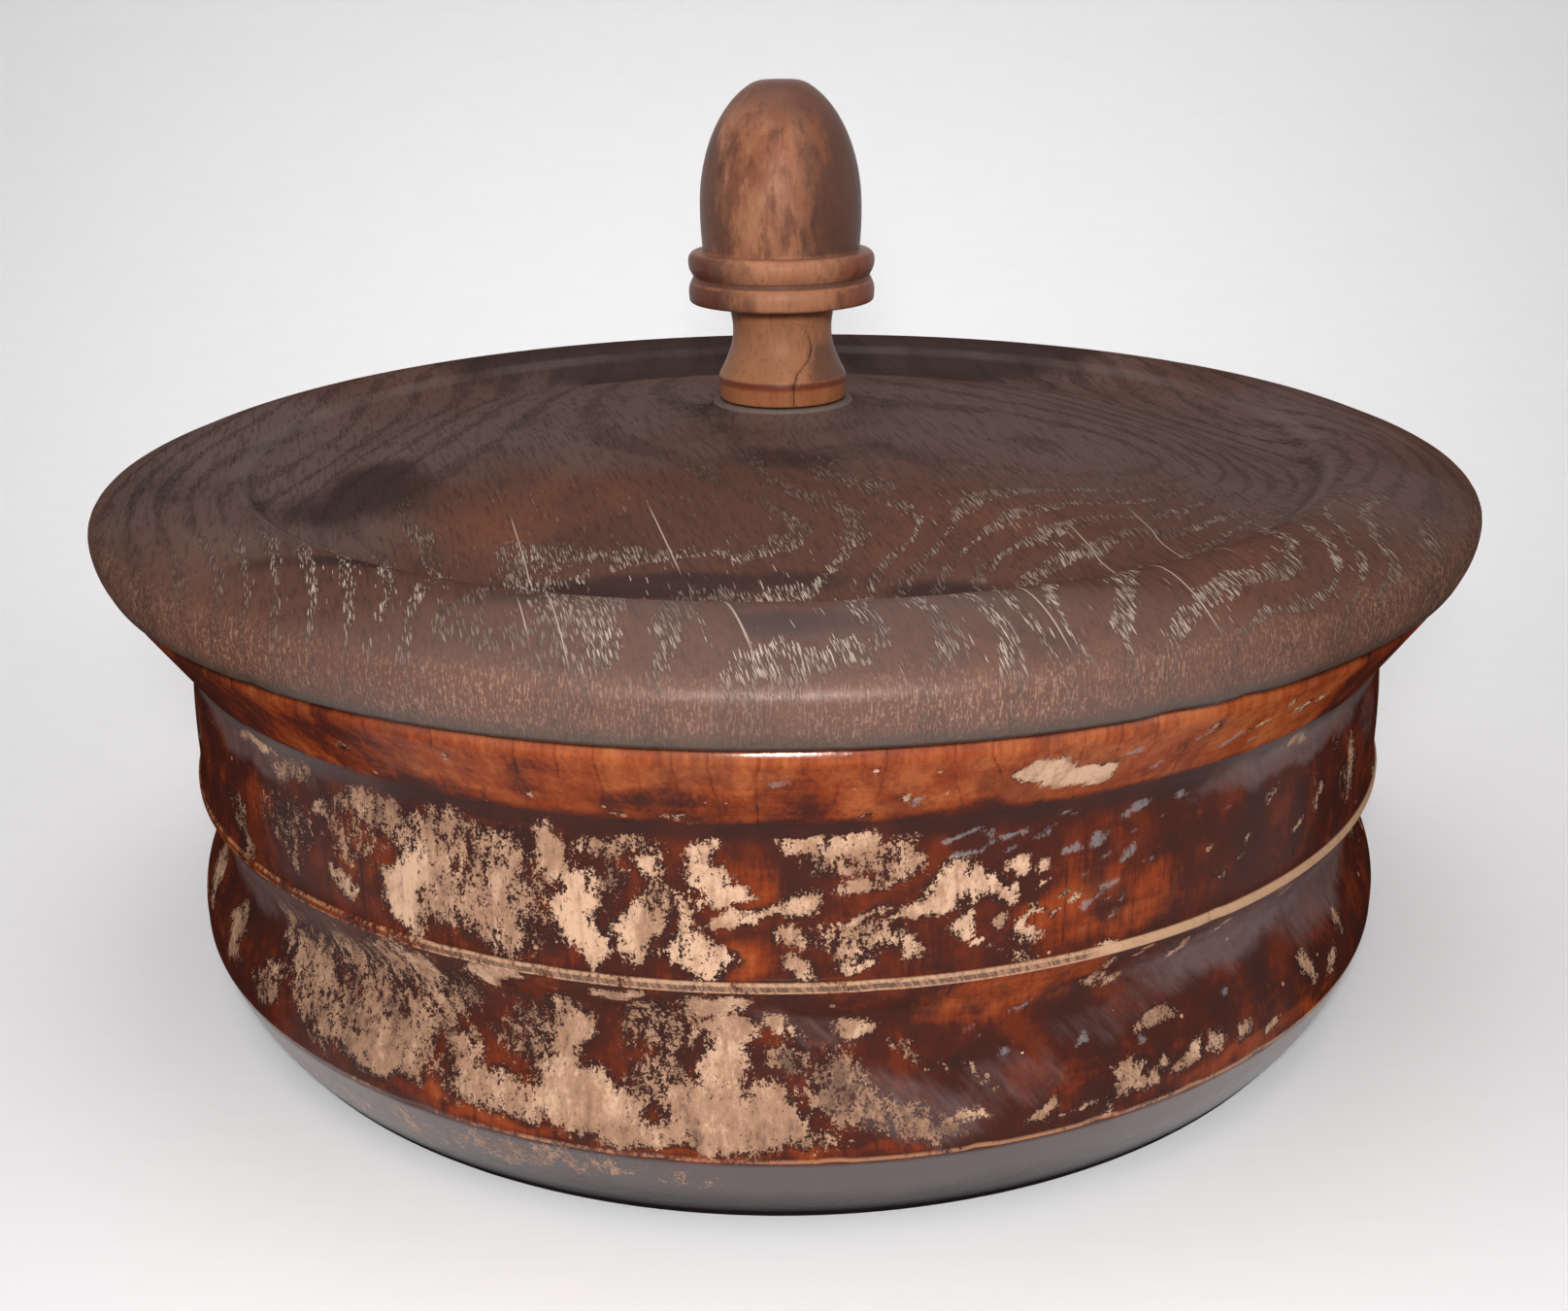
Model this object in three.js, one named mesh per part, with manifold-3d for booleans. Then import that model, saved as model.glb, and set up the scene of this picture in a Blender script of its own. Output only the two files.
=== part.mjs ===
// A lidded wooden pot: a turned bowl on a flared foot, a moulded lid whose spigot drops into the
// bowl's mouth, and an acorn knob that one wood screw holds to the lid from underneath.
// Millimetres, +Z up. The base stands on Z = 0 and every piece is turned about the Z axis.

import * as THREE from "three";
import { mergeVertices } from "three/addons/utils/BufferGeometryUtils.js";
import Module from "manifold-3d";

const seatGap = 0.3; // between two pieces that touch

// Bowl: foot, cove, ridge, wall and rim band, from the base up
const baseRadius = 127;
const baseHollowRadius = 104;
const baseHollowDepth = 2;
const footRadius = 137.5; // at the sharp edge of the foot
const footEdgeHeight = 18.4;
const footChamferBelly = 0.8; // how far the tucked-under face swells past a straight line
const footSwellHeight = 8; // of the swelling above the sharp edge
const coveRadius = 129.6;
const coveHeight = 40.5;
const ridgeRadius = 134.6;
const ridgeHeight = 51; // to the lower edge of the ridge's narrow face
const ridgeFace = 2.2;
const grooveDepth = 1.5; // of the line cut above the ridge
const wallRadius = 133.4;
const creaseRadius = 131.8; // of the hollow under the rim band
const bandHeight = 82; // to the lower edge of the rim band
const bandRadius = 145; // at the top of the band
const bandLowRadius = 133.8;
const bowlHeight = 100;
const bandTopRounding = 2.2;
const mouthRadius = 122;
const mouthChamfer = 1.2;
const insideRadius = 119.5; // where the inner wall meets the curve of the floor
const floorThickness = 17;
const floorCurve = 24;

// Lid: flange, broad rolled rim, channel, dome and boss, from the seat up
const lidRadius = 150;
const lidEdgeHeight = 5.6; // of the widest ring above the flange's underside
const lidEdgeTuck = 2.6; // how far the lower corner draws in
const rimHeight = 17.4; // of the rolled rim above the flange's underside
const rimRoll = 15; // width of the rolled shoulder
const rimWidth = 30.7; // from the widest ring in to the crest
const crestDrop = 2.2; // of the rim's inner crest below its top
const channelWidth = 21.3;
const channelDepth = 4.8; // below the crest
const domeEdgeRise = 1.9; // of the dome's edge above the channel
const domeRise = 8.2; // from the dome's edge to the foot of the boss
const bossRadius = 15.3;
const bossFlare = 12; // how far the boss spreads into the dome
const bossHeight = 4.7;
const spigotDepth = 8;
const spigotClearance = 1.2; // all round, in the bowl's mouth
const spigotChamfer = 1.5;

// Acorn knob: foot ring, neck, beaded cup and nut, from the boss up
const knobFootRadius = 14.4;
const knobFootHeight = 4.9;
const knobFootTaper = 0.4; // how far the foot ring draws in to its seat
const neckRadius = 10.35;
const neckHeight = 14.2; // of the narrowest ring
const neckFlare = 1.2; // how much wider the neck is halfway down to the foot ring
const neckTopFlare = 0.8; // and where it meets the cup
const cupHeight = 21.4; // to the lower edge of the cup
const cupRadius = 20.4;
const cupLip = 2.6; // width of the cup's lower edge, round its dished underside
const cupDish = 0.6; // depth of that dishing
const lowerBead = 4.9; // height of the cup's lower bead
const upperBead = 6.1;
const beadSwell = 0.2; // of each bead beyond the cup's radius
const beadRounding = 1.4;
const cupGroove = 0.8; // depth of the line between the beads
const cupGrooveWidth = 0.6;
const nutBaseRadius = 17.2; // where the nut leaves the cup
const nutRadius = 17.65;
const nutWidestHeight = 9.2; // of its widest ring above the cup
const nutDome = 27.3; // height of the whole ellipse above that ring, before the tip is cut flat
const nutTipRadius = 4.5;
const tenonRadius = 6;
const tenonLength = 8;

// Wood screw, with its slotted head countersunk into the lid's underside
const screwRadius = 2.4;
const screwHeadRadius = 4.8;
const screwBite = 14; // length of the screw inside the knob
const screwPoint = 5; // length of its gimlet point
const screwRecess = 0.6; // of the head below the lid's underside
const slotWidth = 1.2;
const slotDepth = 1.4;

// Facets
const bigFacets = 56;
const knobFacets = 32;
const screwFacets = 20;
const nutSteps = 9; // up the nut's dome
const cornerStep = Math.PI / 8; // turn of one facet round a rounded corner

// Heights that follow from the sizes above
const lidSeat = bowlHeight + seatGap;
const rimTop = lidSeat + rimHeight;
const crestTop = rimTop - crestDrop;
const channelFloor = crestTop - channelDepth;
const domeEdge = channelFloor + domeEdgeRise;
const bossFoot = domeEdge + domeRise;
const bossTop = bossFoot + bossHeight;
const spigotBottom = lidSeat - spigotDepth;
const knobSeat = bossTop + seatGap;
const tenonBottom = bossTop - tenonLength + seatGap;
const screwBottom = spigotBottom + screwRecess;
const screwTip = tenonBottom + screwBite;
const screwHeadDepth = screwHeadRadius - screwRadius;

// An outline of [radius, height, rounding] corners. A rounding is a curve that starts and ends that
// far from its corner, and never past the middle of either side.
function outline(corners, closed) {
  const at = corners.map(([radius, height]) => new THREE.Vector2(radius, height));
  const points = [];
  corners.forEach(([, , rounding = 0], i) => {
    const corner = at[i];
    const before = at[(i + at.length - 1) % at.length].clone().sub(corner);
    const after = at[(i + 1) % at.length].clone().sub(corner);
    const isEnd = !closed && (i === 0 || i === at.length - 1);
    if (!rounding || isEnd) return void points.push(corner);
    const reach = Math.min(rounding, before.length() / 2, after.length() / 2);
    const start = corner.clone().add(before.clone().setLength(reach));
    const end = corner.clone().add(after.clone().setLength(reach));
    const turn = Math.PI - Math.acos(before.dot(after) / before.length() / after.length());
    const steps = Math.max(2, Math.round(turn / cornerStep));
    points.push(...new THREE.QuadraticBezierCurve(start, corner, end).getPoints(steps));
  });
  if (closed) points.push(points[0].clone());
  return points.filter((point, i) => i === 0 || point.distanceTo(points[i - 1]) > 1e-4);
}

// An outline spun round the Z axis.
function turned(points, facets) {
  return new THREE.LatheGeometry(points, facets).rotateX(Math.PI / 2);
}

function wood(color, roughness) {
  return new THREE.MeshStandardMaterial({ color, roughness, metalness: 0 });
}

function piece(name, geometry, material) {
  const mesh = new THREE.Mesh(geometry, material);
  mesh.name = name;
  return mesh;
}

// The bowl, from the hollow of its base up the outside, over the rim and down into its inside.
function bowlGeometry() {
  const chamferRadius = (baseRadius + footRadius) / 2 + footChamferBelly;
  const chamferHeight = footEdgeHeight / 2 - footChamferBelly;
  const grooveTop = ridgeHeight + ridgeFace + grooveDepth;
  const wallMiddle = (grooveTop + bandHeight) / 2;
  return turned(outline([
    [0, baseHollowDepth],
    [baseHollowRadius, baseHollowDepth, 1],
    [baseHollowRadius + baseHollowDepth, 0],
    [baseRadius, 0],
    [chamferRadius, chamferHeight, 12],
    [footRadius, footEdgeHeight, 0.6],
    [footRadius, footEdgeHeight + footSwellHeight, 6],
    [coveRadius, coveHeight, 9],
    [ridgeRadius, ridgeHeight],
    [ridgeRadius, ridgeHeight + ridgeFace],
    [wallRadius - grooveDepth / 2, ridgeHeight + ridgeFace + grooveDepth / 3, 0.4],
    [wallRadius, grooveTop + 2, 4],
    [wallRadius, wallMiddle, 9],
    [creaseRadius, bandHeight - 3, 4],
    [bandLowRadius, bandHeight, 1.5],
    [bandRadius, bowlHeight, bandTopRounding],
    [mouthRadius + mouthChamfer, bowlHeight],
    [mouthRadius, bowlHeight - mouthChamfer],
    [mouthRadius, bowlHeight - spigotDepth - mouthChamfer, 3],
    [insideRadius, floorThickness, floorCurve],
    [0, floorThickness],
  ]), bigFacets);
}

// The lid, from the screw's hole out along its underside, over the rim and in to the boss's socket.
function lidGeometry() {
  const spigotRadius = mouthRadius - spigotClearance;
  const crestRadius = lidRadius - rimWidth;
  const domeRadius = crestRadius - channelWidth;
  const channelMiddle = (crestRadius + domeRadius) / 2;
  const domeMiddle = (domeRadius + bossRadius + bossFlare) / 2;
  const hole = screwRadius + seatGap;
  const headHole = screwHeadRadius + seatGap;
  return turned(outline([
    [hole, screwBottom + screwHeadDepth],
    [headHole, screwBottom],
    [headHole, spigotBottom],
    [spigotRadius - spigotChamfer, spigotBottom],
    [spigotRadius, spigotBottom + spigotChamfer],
    [spigotRadius, lidSeat],
    [lidRadius - lidEdgeTuck, lidSeat, 0.8],
    [lidRadius, lidSeat + lidEdgeHeight, 5],
    [lidRadius, lidSeat + lidEdgeHeight + (rimHeight - lidEdgeHeight) / 2, 6],
    [lidRadius - rimRoll, rimTop, 11],
    [crestRadius + rimRoll / 3, rimTop - crestDrop / 5, 3],
    [crestRadius, crestTop, 0.7],
    [crestRadius - channelWidth / 5, channelFloor + channelDepth / 6, 4],
    [channelMiddle, channelFloor, 6],
    [domeRadius + channelWidth / 6, channelFloor + domeEdgeRise / 4, 3],
    [domeRadius, domeEdge, 3],
    [domeMiddle, domeEdge + domeRise * 0.72, 30],
    [bossRadius + bossFlare, bossFoot, 8],
    [bossRadius + bossFlare / 6, bossFoot + bossHeight / 3, 5],
    [bossRadius, bossTop],
    [tenonRadius + seatGap, bossTop],
    [tenonRadius + seatGap, bossTop - tenonLength],
    [hole, bossTop - tenonLength],
  ], true), bigFacets);
}

// The acorn knob, from the end of the screw's pilot hole out over the tenon and up to the tip.
function knobGeometry() {
  const up = (height) => knobSeat + height;
  const grooveHeight = cupHeight + lowerBead;
  const nutBase = up(grooveHeight + upperBead);
  const widest = nutBase + nutWidestHeight;
  const lower = outline([
    [0, screwTip + seatGap * 2],
    [screwRadius + seatGap, screwTip - screwPoint],
    [screwRadius + seatGap, tenonBottom],
    [tenonRadius, tenonBottom],
    [tenonRadius, knobSeat],
    [knobFootRadius - knobFootTaper, knobSeat],
    [knobFootRadius, up(knobFootHeight), 0.8],
    [neckRadius + neckFlare, up((knobFootHeight * 2 + neckHeight) / 3), 3],
    [neckRadius, up(neckHeight), 4],
    [neckRadius + neckTopFlare, up(cupHeight + cupDish), 2],
    [cupRadius - cupLip, up(cupHeight)],
    [cupRadius, up(cupHeight), 0.9],
    [cupRadius + beadSwell, up(cupHeight + lowerBead * 0.6), beadRounding],
    [cupRadius - cupGroove, up(grooveHeight)],
    [cupRadius - cupGroove, up(grooveHeight + cupGrooveWidth)],
    [cupRadius + beadSwell, up(grooveHeight + upperBead * 0.4), beadRounding],
    [cupRadius, nutBase, beadRounding * 1.7],
    [nutBaseRadius, nutBase],
    [nutRadius, nutBase + nutWidestHeight / 2, 4],
  ]);
  const tipAngle = Math.acos(nutTipRadius / nutRadius);
  const dome = new THREE.EllipseCurve(0, widest, nutRadius, nutDome, 0, tipAngle).getPoints(nutSteps);
  const tip = dome.at(-1);
  return turned([...lower, ...dome, new THREE.Vector2(0, tip.y)], knobFacets);
}

// A wood screw: countersunk head, parallel shank and a gimlet point.
function screwBlank() {
  return turned(outline([
    [0, screwBottom],
    [screwHeadRadius, screwBottom],
    [screwRadius, screwBottom + screwHeadDepth],
    [screwRadius, screwTip - screwPoint],
    [0, screwTip],
  ]), screwFacets);
}

const wasm = await Module();
wasm.setup();

function toSolid(geometry) {
  const bare = geometry.index ? geometry.toNonIndexed() : geometry.clone();
  bare.deleteAttribute("normal");
  bare.deleteAttribute("uv");
  const merged = mergeVertices(bare, 1e-4);
  return new wasm.Manifold(new wasm.Mesh({
    numProp: 3,
    vertProperties: merged.attributes.position.array,
    triVerts: Uint32Array.from(merged.index.array),
  }));
}

function toGeometry(solid) {
  const mesh = solid.getMesh();
  const geometry = new THREE.BufferGeometry();
  geometry.setAttribute("position", new THREE.BufferAttribute(mesh.vertProperties, 3));
  geometry.setIndex(new THREE.BufferAttribute(mesh.triVerts, 1));
  return geometry;
}

// The screw with its driver slot sawn across the head.
function screwGeometry() {
  const slot = new THREE.BoxGeometry(screwHeadRadius * 3, slotWidth, slotDepth * 2);
  slot.translate(0, 0, screwBottom);
  return toGeometry(toSolid(screwBlank()).subtract(toSolid(slot)));
}

const bowlFinish = wood(0x6b3a28, 0.38);
const lidWood = wood(0x5c443c, 0.55);
const knobWood = wood(0xa06a4c, 0.5);
const screwSteel = new THREE.MeshStandardMaterial({ color: 0x6d6a66, roughness: 0.5, metalness: 0.9 });

const pot = new THREE.Group();
pot.add(
  piece("bowl", bowlGeometry(), bowlFinish),
  piece("lid", lidGeometry(), lidWood),
  piece("acorn_knob", knobGeometry(), knobWood),
  piece("knob_screw", screwGeometry(), screwSteel),
);

export default pot;
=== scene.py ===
# A lidded wooden pot, dressed for the camera: a worn turned bowl, an open-grained lid and an acorn knob.
# Blender units are metres. Sizes in the dictionaries are millimetres, heights above the table.

import math
import random
from types import SimpleNamespace

import bpy
import numpy as np
from mathutils import Matrix, Vector


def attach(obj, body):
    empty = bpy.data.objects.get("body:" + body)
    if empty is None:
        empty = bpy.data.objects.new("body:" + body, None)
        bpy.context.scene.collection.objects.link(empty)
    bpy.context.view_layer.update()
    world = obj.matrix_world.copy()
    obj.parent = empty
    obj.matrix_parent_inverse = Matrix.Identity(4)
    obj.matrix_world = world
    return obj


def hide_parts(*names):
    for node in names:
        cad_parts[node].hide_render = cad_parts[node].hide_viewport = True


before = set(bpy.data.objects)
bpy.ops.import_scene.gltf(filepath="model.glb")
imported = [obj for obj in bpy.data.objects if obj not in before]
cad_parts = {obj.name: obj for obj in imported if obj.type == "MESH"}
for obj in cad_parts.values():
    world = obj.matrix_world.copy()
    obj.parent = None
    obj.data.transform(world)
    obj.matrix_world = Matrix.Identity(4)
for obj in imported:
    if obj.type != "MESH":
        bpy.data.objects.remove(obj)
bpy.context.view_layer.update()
mm = 0.001


# Camera, level with the photograph's frame
cameraView = {
    "place": (-0.0005, -0.3985, 0.2065),
    "down": 0.345,  # radians below level
    "roll": -0.0125,
    "focalPixels": 1833,
    "imageWidth": 1615,
    "filmWidth": 36,
    "clipStart": 0.01,
}


def placeCamera(view):
    camera = bpy.data.objects.new("camera", bpy.data.cameras.new("camera"))
    bpy.context.scene.collection.objects.link(camera)
    camera.data.sensor_fit = "HORIZONTAL"
    camera.data.sensor_width = view["filmWidth"]
    camera.data.lens = view["filmWidth"] * view["focalPixels"] / view["imageWidth"]
    camera.data.clip_start = view["clipStart"]
    aim = Matrix.Rotation(math.pi / 2 - view["down"], 4, "X") @ Matrix.Rotation(view["roll"], 4, "Z")
    camera.matrix_world = Matrix.Translation(view["place"]) @ aim
    bpy.context.scene.camera = camera
    print("camera placed")


# Material helpers: nodes go into the tree on the bench. A socket is linked, a plain value is set
bench = {}


def freshMaterial(name, looks):
    material = bpy.data.materials.new(name)
    material.use_nodes = True
    bench["tree"] = material.node_tree
    bench["looks"] = looks
    return material, material.node_tree.nodes["Principled BSDF"]


def fit(node, inputs):
    for socket, value in inputs.items():
        if isinstance(value, bpy.types.NodeSocket):
            bench["tree"].links.new(value, node.inputs[socket])
        else:
            node.inputs[socket].default_value = value
    return node


def addNode(kind, inputs, **settings):
    node = bench["tree"].nodes.new(kind)
    for setting, value in settings.items():
        setattr(node, setting, value)
    return fit(node, inputs)


def calc(operation, first, *others, clamp=False):
    for other in others or (0.0,):
        first = addNode("ShaderNodeMath", {0: first, 1: other}, operation=operation, use_clamp=clamp).outputs[0]
    return first


def add(*values):
    return calc("ADD", *values)


def times(*values):
    return calc("MULTIPLY", *values)


def largest(*values):
    return calc("MAXIMUM", *values)


def distance(x, y):
    return calc("SQRT", add(times(x, x), times(y, y)))


# A noise's swing about its middle, scaled
def swing(value, amount):
    return times(calc("SUBTRACT", value, 0.5), amount)


def ramp(value, low, high, bottom=0.0, top=1.0):
    inputs = {"Value": value, "From Min": low, "From Max": high, "To Min": bottom, "To Max": top}
    return addNode("ShaderNodeMapRange", inputs, interpolation_type="SMOOTHSTEP").outputs[0]


def fall(value, low, high):
    return ramp(value, low, high, 1, 0)


# One inside a zone, given where it begins, is full, is still full and has gone
def zone(value, begins, full, stillFull, gone):
    return times(ramp(value, begins, full), fall(value, stillFull, gone))


# A colour is a socket, or the name of one among the looks on the bench
def mixColour(amount, first, second):
    inputs = {0: amount, 6: first, 7: second}
    inputs = {key: bench["looks"][value] if isinstance(value, str) else value for key, value in inputs.items()}
    return addNode("ShaderNodeMix", inputs, data_type="RGBA").outputs[2]


# Lays coats over a colour, one after another, each by its own amount
def layer(colour, *coats):
    for amount, coat in coats:
        colour = mixColour(amount, colour, coat)
    return colour


def mixValue(amount, first, second):
    return addNode("ShaderNodeMix", {0: amount, 2: first, 3: second}, data_type="FLOAT").outputs[0]


# Object coordinates in millimetres, turned, shifted and stretched
def placeIn(turn=(0, 0, 0), stretch=(1, 1, 1), shift=(0, 0, 0)):
    place = addNode("ShaderNodeTexCoord", {}).outputs["Object"]
    place = addNode("ShaderNodeMapping", {"Vector": place, "Scale": (1000, 1000, 1000)}).outputs[0]
    if any(turn) or any(shift):
        turned = {"Vector": place, "Rotation": turn, "Location": shift}
        place = addNode("ShaderNodeMapping", turned).outputs[0]
    if stretch != (1, 1, 1):
        place = addNode("ShaderNodeMapping", {"Vector": place, "Scale": stretch}).outputs[0]
    return place


def split(place):
    return addNode("ShaderNodeSeparateXYZ", {"Vector": place}).outputs


# Size is in millimetres, and the last names are those of placeIn
def noise(size, detail=4, roughness=0.55, **spot):
    inputs = {"Vector": placeIn(**spot), "Scale": 1 / size, "Detail": detail, "Roughness": roughness}
    return addNode("ShaderNodeTexNoise", inputs).outputs["Fac"]


# Scattered cells: how far the nearest middle is, and three random numbers for each
def cells(size, **spot):
    cell = addNode("ShaderNodeTexVoronoi", {"Vector": placeIn(**spot), "Scale": 1 / size}).outputs
    return cell["Distance"], addNode("ShaderNodeSeparateColor", {"Color": cell["Color"]}).outputs


def painted(name):
    return addNode("ShaderNodeAttribute", {}, attribute_name=name).outputs["Fac"]


def bump(height, strength, depth, normal=None):
    inputs = {"Height": height, "Strength": strength, "Distance": depth * mm}
    if normal:
        inputs["Normal"] = normal
    return addNode("ShaderNodeBump", inputs).outputs[0]


def finishWood(shader, colour, rough, relief, shine):
    fit(shader, {"Base Color": colour, "Roughness": rough, "Normal": relief, "Specular IOR Level": shine,
                 "Specular Tint": bench["looks"]["shineTint"]})


# Picks vertices or edges by a test, in edit mode, and says how many
def pick(piece, kind, wanted):
    bpy.ops.object.mode_set(mode="EDIT")
    bpy.ops.mesh.select_mode(type=kind)
    bpy.ops.mesh.select_all(action="DESELECT")
    bpy.ops.object.mode_set(mode="OBJECT")
    found = 0
    for part in piece.data.vertices if kind == "VERT" else piece.data.edges:
        part.select = bool(wanted(part))
        found += part.select
    bpy.ops.object.mode_set(mode="EDIT")
    return found


def ends(piece, edge):
    return [piece.data.vertices[i].co for i in edge.vertices]


lathe = {
    "roundings": ((1.2, 3), (3, 5), (math.inf, 8)),  # up to this rounding, this many segments
    "smoothAngle": 32,
    "dentBeyond": 125,  # dents are pressed only into what is further out than this
    "leastDent": 0.01,
}


# Corners are (radius, height, rounding); spacing gives the longest step along the outline
def turnOnLathe(name, corners, steps, spacing):
    bpy.ops.object.select_all(action="DESELECT")
    bpy.ops.mesh.primitive_plane_add(size=mm)
    piece = bpy.context.object
    piece.name = name
    bpy.ops.object.mode_set(mode="EDIT")
    bpy.ops.mesh.select_mode(type="VERT")
    bpy.ops.mesh.select_all(action="SELECT")
    bpy.ops.mesh.merge(type="CENTER")
    bpy.ops.transform.translate(value=(corners[0][0] * mm, 0, corners[0][1] * mm))
    for before, after in zip(corners, corners[1:]):
        step = ((after[0] - before[0]) * mm, 0, (after[1] - before[1]) * mm)
        bpy.ops.mesh.extrude_region_move(TRANSFORM_OT_translate={"value": step})
    for radius, height, rounding in corners:
        if rounding:
            corner = Vector((radius * mm, 0, height * mm))
            pick(piece, "VERT", lambda vertex: (vertex.co - corner).length < mm / 100)
            segments = next(count for limit, count in lathe["roundings"] if rounding < limit)
            bpy.ops.mesh.bevel(offset=rounding * mm, segments=segments, affect="VERTICES", clamp_overlap=True)

    def tooLong(edge):
        start, end = ends(piece, edge)
        return (end - start).length > spacing((start + end) / 2) * mm

    while pick(piece, "EDGE", tooLong):
        bpy.ops.mesh.subdivide(number_cuts=1)
    bpy.ops.mesh.select_all(action="SELECT")
    bpy.ops.mesh.spin(steps=steps, angle=2 * math.pi, center=(0, 0, 0), axis=(0, 0, 1))
    bpy.ops.mesh.select_all(action="SELECT")
    bpy.ops.mesh.remove_doubles(threshold=mm / 1000)
    bpy.ops.mesh.normals_make_consistent(inside=False)
    bpy.ops.object.mode_set(mode="OBJECT")
    bpy.ops.object.shade_smooth_by_angle(angle=math.radians(lathe["smoothAngle"]))
    print(name, "turned,", len(piece.data.vertices), "vertices")
    return piece


# Presses chosen vertices in along their normals, by up to a depth in millimetres
def press(piece, name, strength, depth):
    group = piece.vertex_groups.new(name=name)
    for index in np.nonzero(strength > lathe["leastDent"])[0]:
        group.add([int(index)], float(strength[index]), "REPLACE")
    dent = piece.modifiers.new(name, "DISPLACE")
    dent.vertex_group = name
    dent.mid_level = 0.0
    dent.strength = -depth * mm
    bpy.context.view_layer.objects.active = piece
    bpy.ops.object.modifier_apply(modifier=name)
    piece.vertex_groups.remove(piece.vertex_groups[name])


def paint(piece, name, values):
    piece.data.attributes.new(name, "FLOAT", "POINT").data.foreach_set("value", values.astype(np.float32))


# Every vertex's place in millimetres
def positions(piece):
    spots = np.empty(len(piece.data.vertices) * 3, dtype=np.float32)
    piece.data.vertices.foreach_get("co", spots)
    return spots.reshape(-1, 3).astype(float) / mm


# Angle round the axis from the front in degrees, height and radius in millimetres
def cylindrical(piece):
    x, y, z = positions(piece).T
    return np.degrees(np.arctan2(x, -y)), z, np.hypot(x, y)


# How far out a patch has gone, in its own half widths, and how soft its rim is
patchRim = {"gone": 1.35, "soft": 0.7}
toneRim = {"gone": 1.4, "soft": 0.9}


def fade(reach, rim):
    return np.clip((rim["gone"] - reach) / rim["soft"], 0, 1)


# One oval patch: full strength in its middle, gone at its rim
def patchAt(surface, centre, level, width, tall, lean):
    angle, height, radius = surface
    away = (angle - centre + 180) % 360 - 180
    across = np.radians(away) * radius
    up = height - level
    tilt = math.radians(lean)
    alongWidth = (across * math.cos(tilt) + up * math.sin(tilt)) / (width / 2)
    alongTall = (up * math.cos(tilt) - across * math.sin(tilt)) / (tall / 2)
    return fade(np.hypot(alongWidth, alongTall), patchRim)


# The strongest of many patches at each vertex
def strongest(surface, patches):
    total = np.zeros(len(surface[0]))
    for *shape, amount in patches:
        total = np.maximum(total, patchAt(surface, *shape) * amount)
    return total


def pressNicks(piece, name, nicks):
    surface = cylindrical(piece)
    outside = surface[2] > lathe["dentBeyond"]
    for number, (*shape, depth) in enumerate(nicks):
        press(piece, f"{name}_{number}", patchAt(surface, *shape) * outside, depth)


# Bowl
bowl = {
    "baseRadius": 127, "baseHollow": 104, "hollowDepth": 2,
    "footRadius": 136.6, "footEdge": 18.4, "footSwell": 26.4,
    "coveRadius": 129.6, "coveHeight": 40.5,
    "ridgeRadius": 135.0, "ridgeHeight": 51, "ridgeFace": 1.7, "ridgeShoulder": 0.5,
    "wallRadius": 134.0, "creaseRadius": 133.2, "bandHeight": 81.7, "bandLowRadius": 134.3,
    "bandRadius": 145, "height": 100, "bandRounding": 1.0, "lipDrop": 2.6, "lipLean": 1.3,
    "mouthRadius": 122, "mouthDepth": 9.2, "insideRadius": 119.5, "floor": 17, "floorCurve": 24,
    "steps": 420, "fineStep": 1.4, "coarseStep": 6.0, "fineBeyond": 123.5,
    "backPatches": 26, "backChips": 40, "backSeed": 7,
}

# Where the finish has gone: angle, height, width, tall, lean in degrees, how bare, how pale the wood
bandWear = [
    (16.6, 91.2, 4, 4.6, 0, 2.4, 0.75), (18.2, 91, 4.4, 6.6, 0, 2.4, 0.8), (18.6, 93.6, 1.8, 3, 20, 2, 0.8),
    (19.7, 89, 3, 4.2, 0, 2.4, 0.85), (21, 88, 3.6, 5, 0, 2.4, 0.95), (22.4, 87.4, 3, 4.4, 0, 2.2, 0.95),
    (35.6, 91.4, 5, 1.2, 40, 0.8, 0.6), (38.4, 92, 6, 1, -35, 0.8, 0.6), (40.5, 91, 4, 2, 20, 0.8, 0.6),
    (42.5, 92.5, 3, 2, -20, 0.7, 0.6), (30.5, 93, 1.5, 2.5, 20, 0.8, 0.7), (-32.5, 89.5, 4, 3, 0, 0.45, 0.7),
    (-17.8, 86, 2.5, 1.6, 0, 0.8, 0.8), (-7.7, 83.4, 3, 1, 0, 0.8, 0.6), (7.6, 87.6, 3, 2.4, 0, 0.55, 0.8),
    (4.5, 84, 2.5, 1, 0, 0.7, 0.6), (-23, 93.6, 2, 2, 0, 0.5, 0.6), (-12.5, 84.4, 2, 1, 10, 0.6, 0.6),
    (12, 90, 1.5, 1.2, 0, 0.6, 0.7),
]
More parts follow.
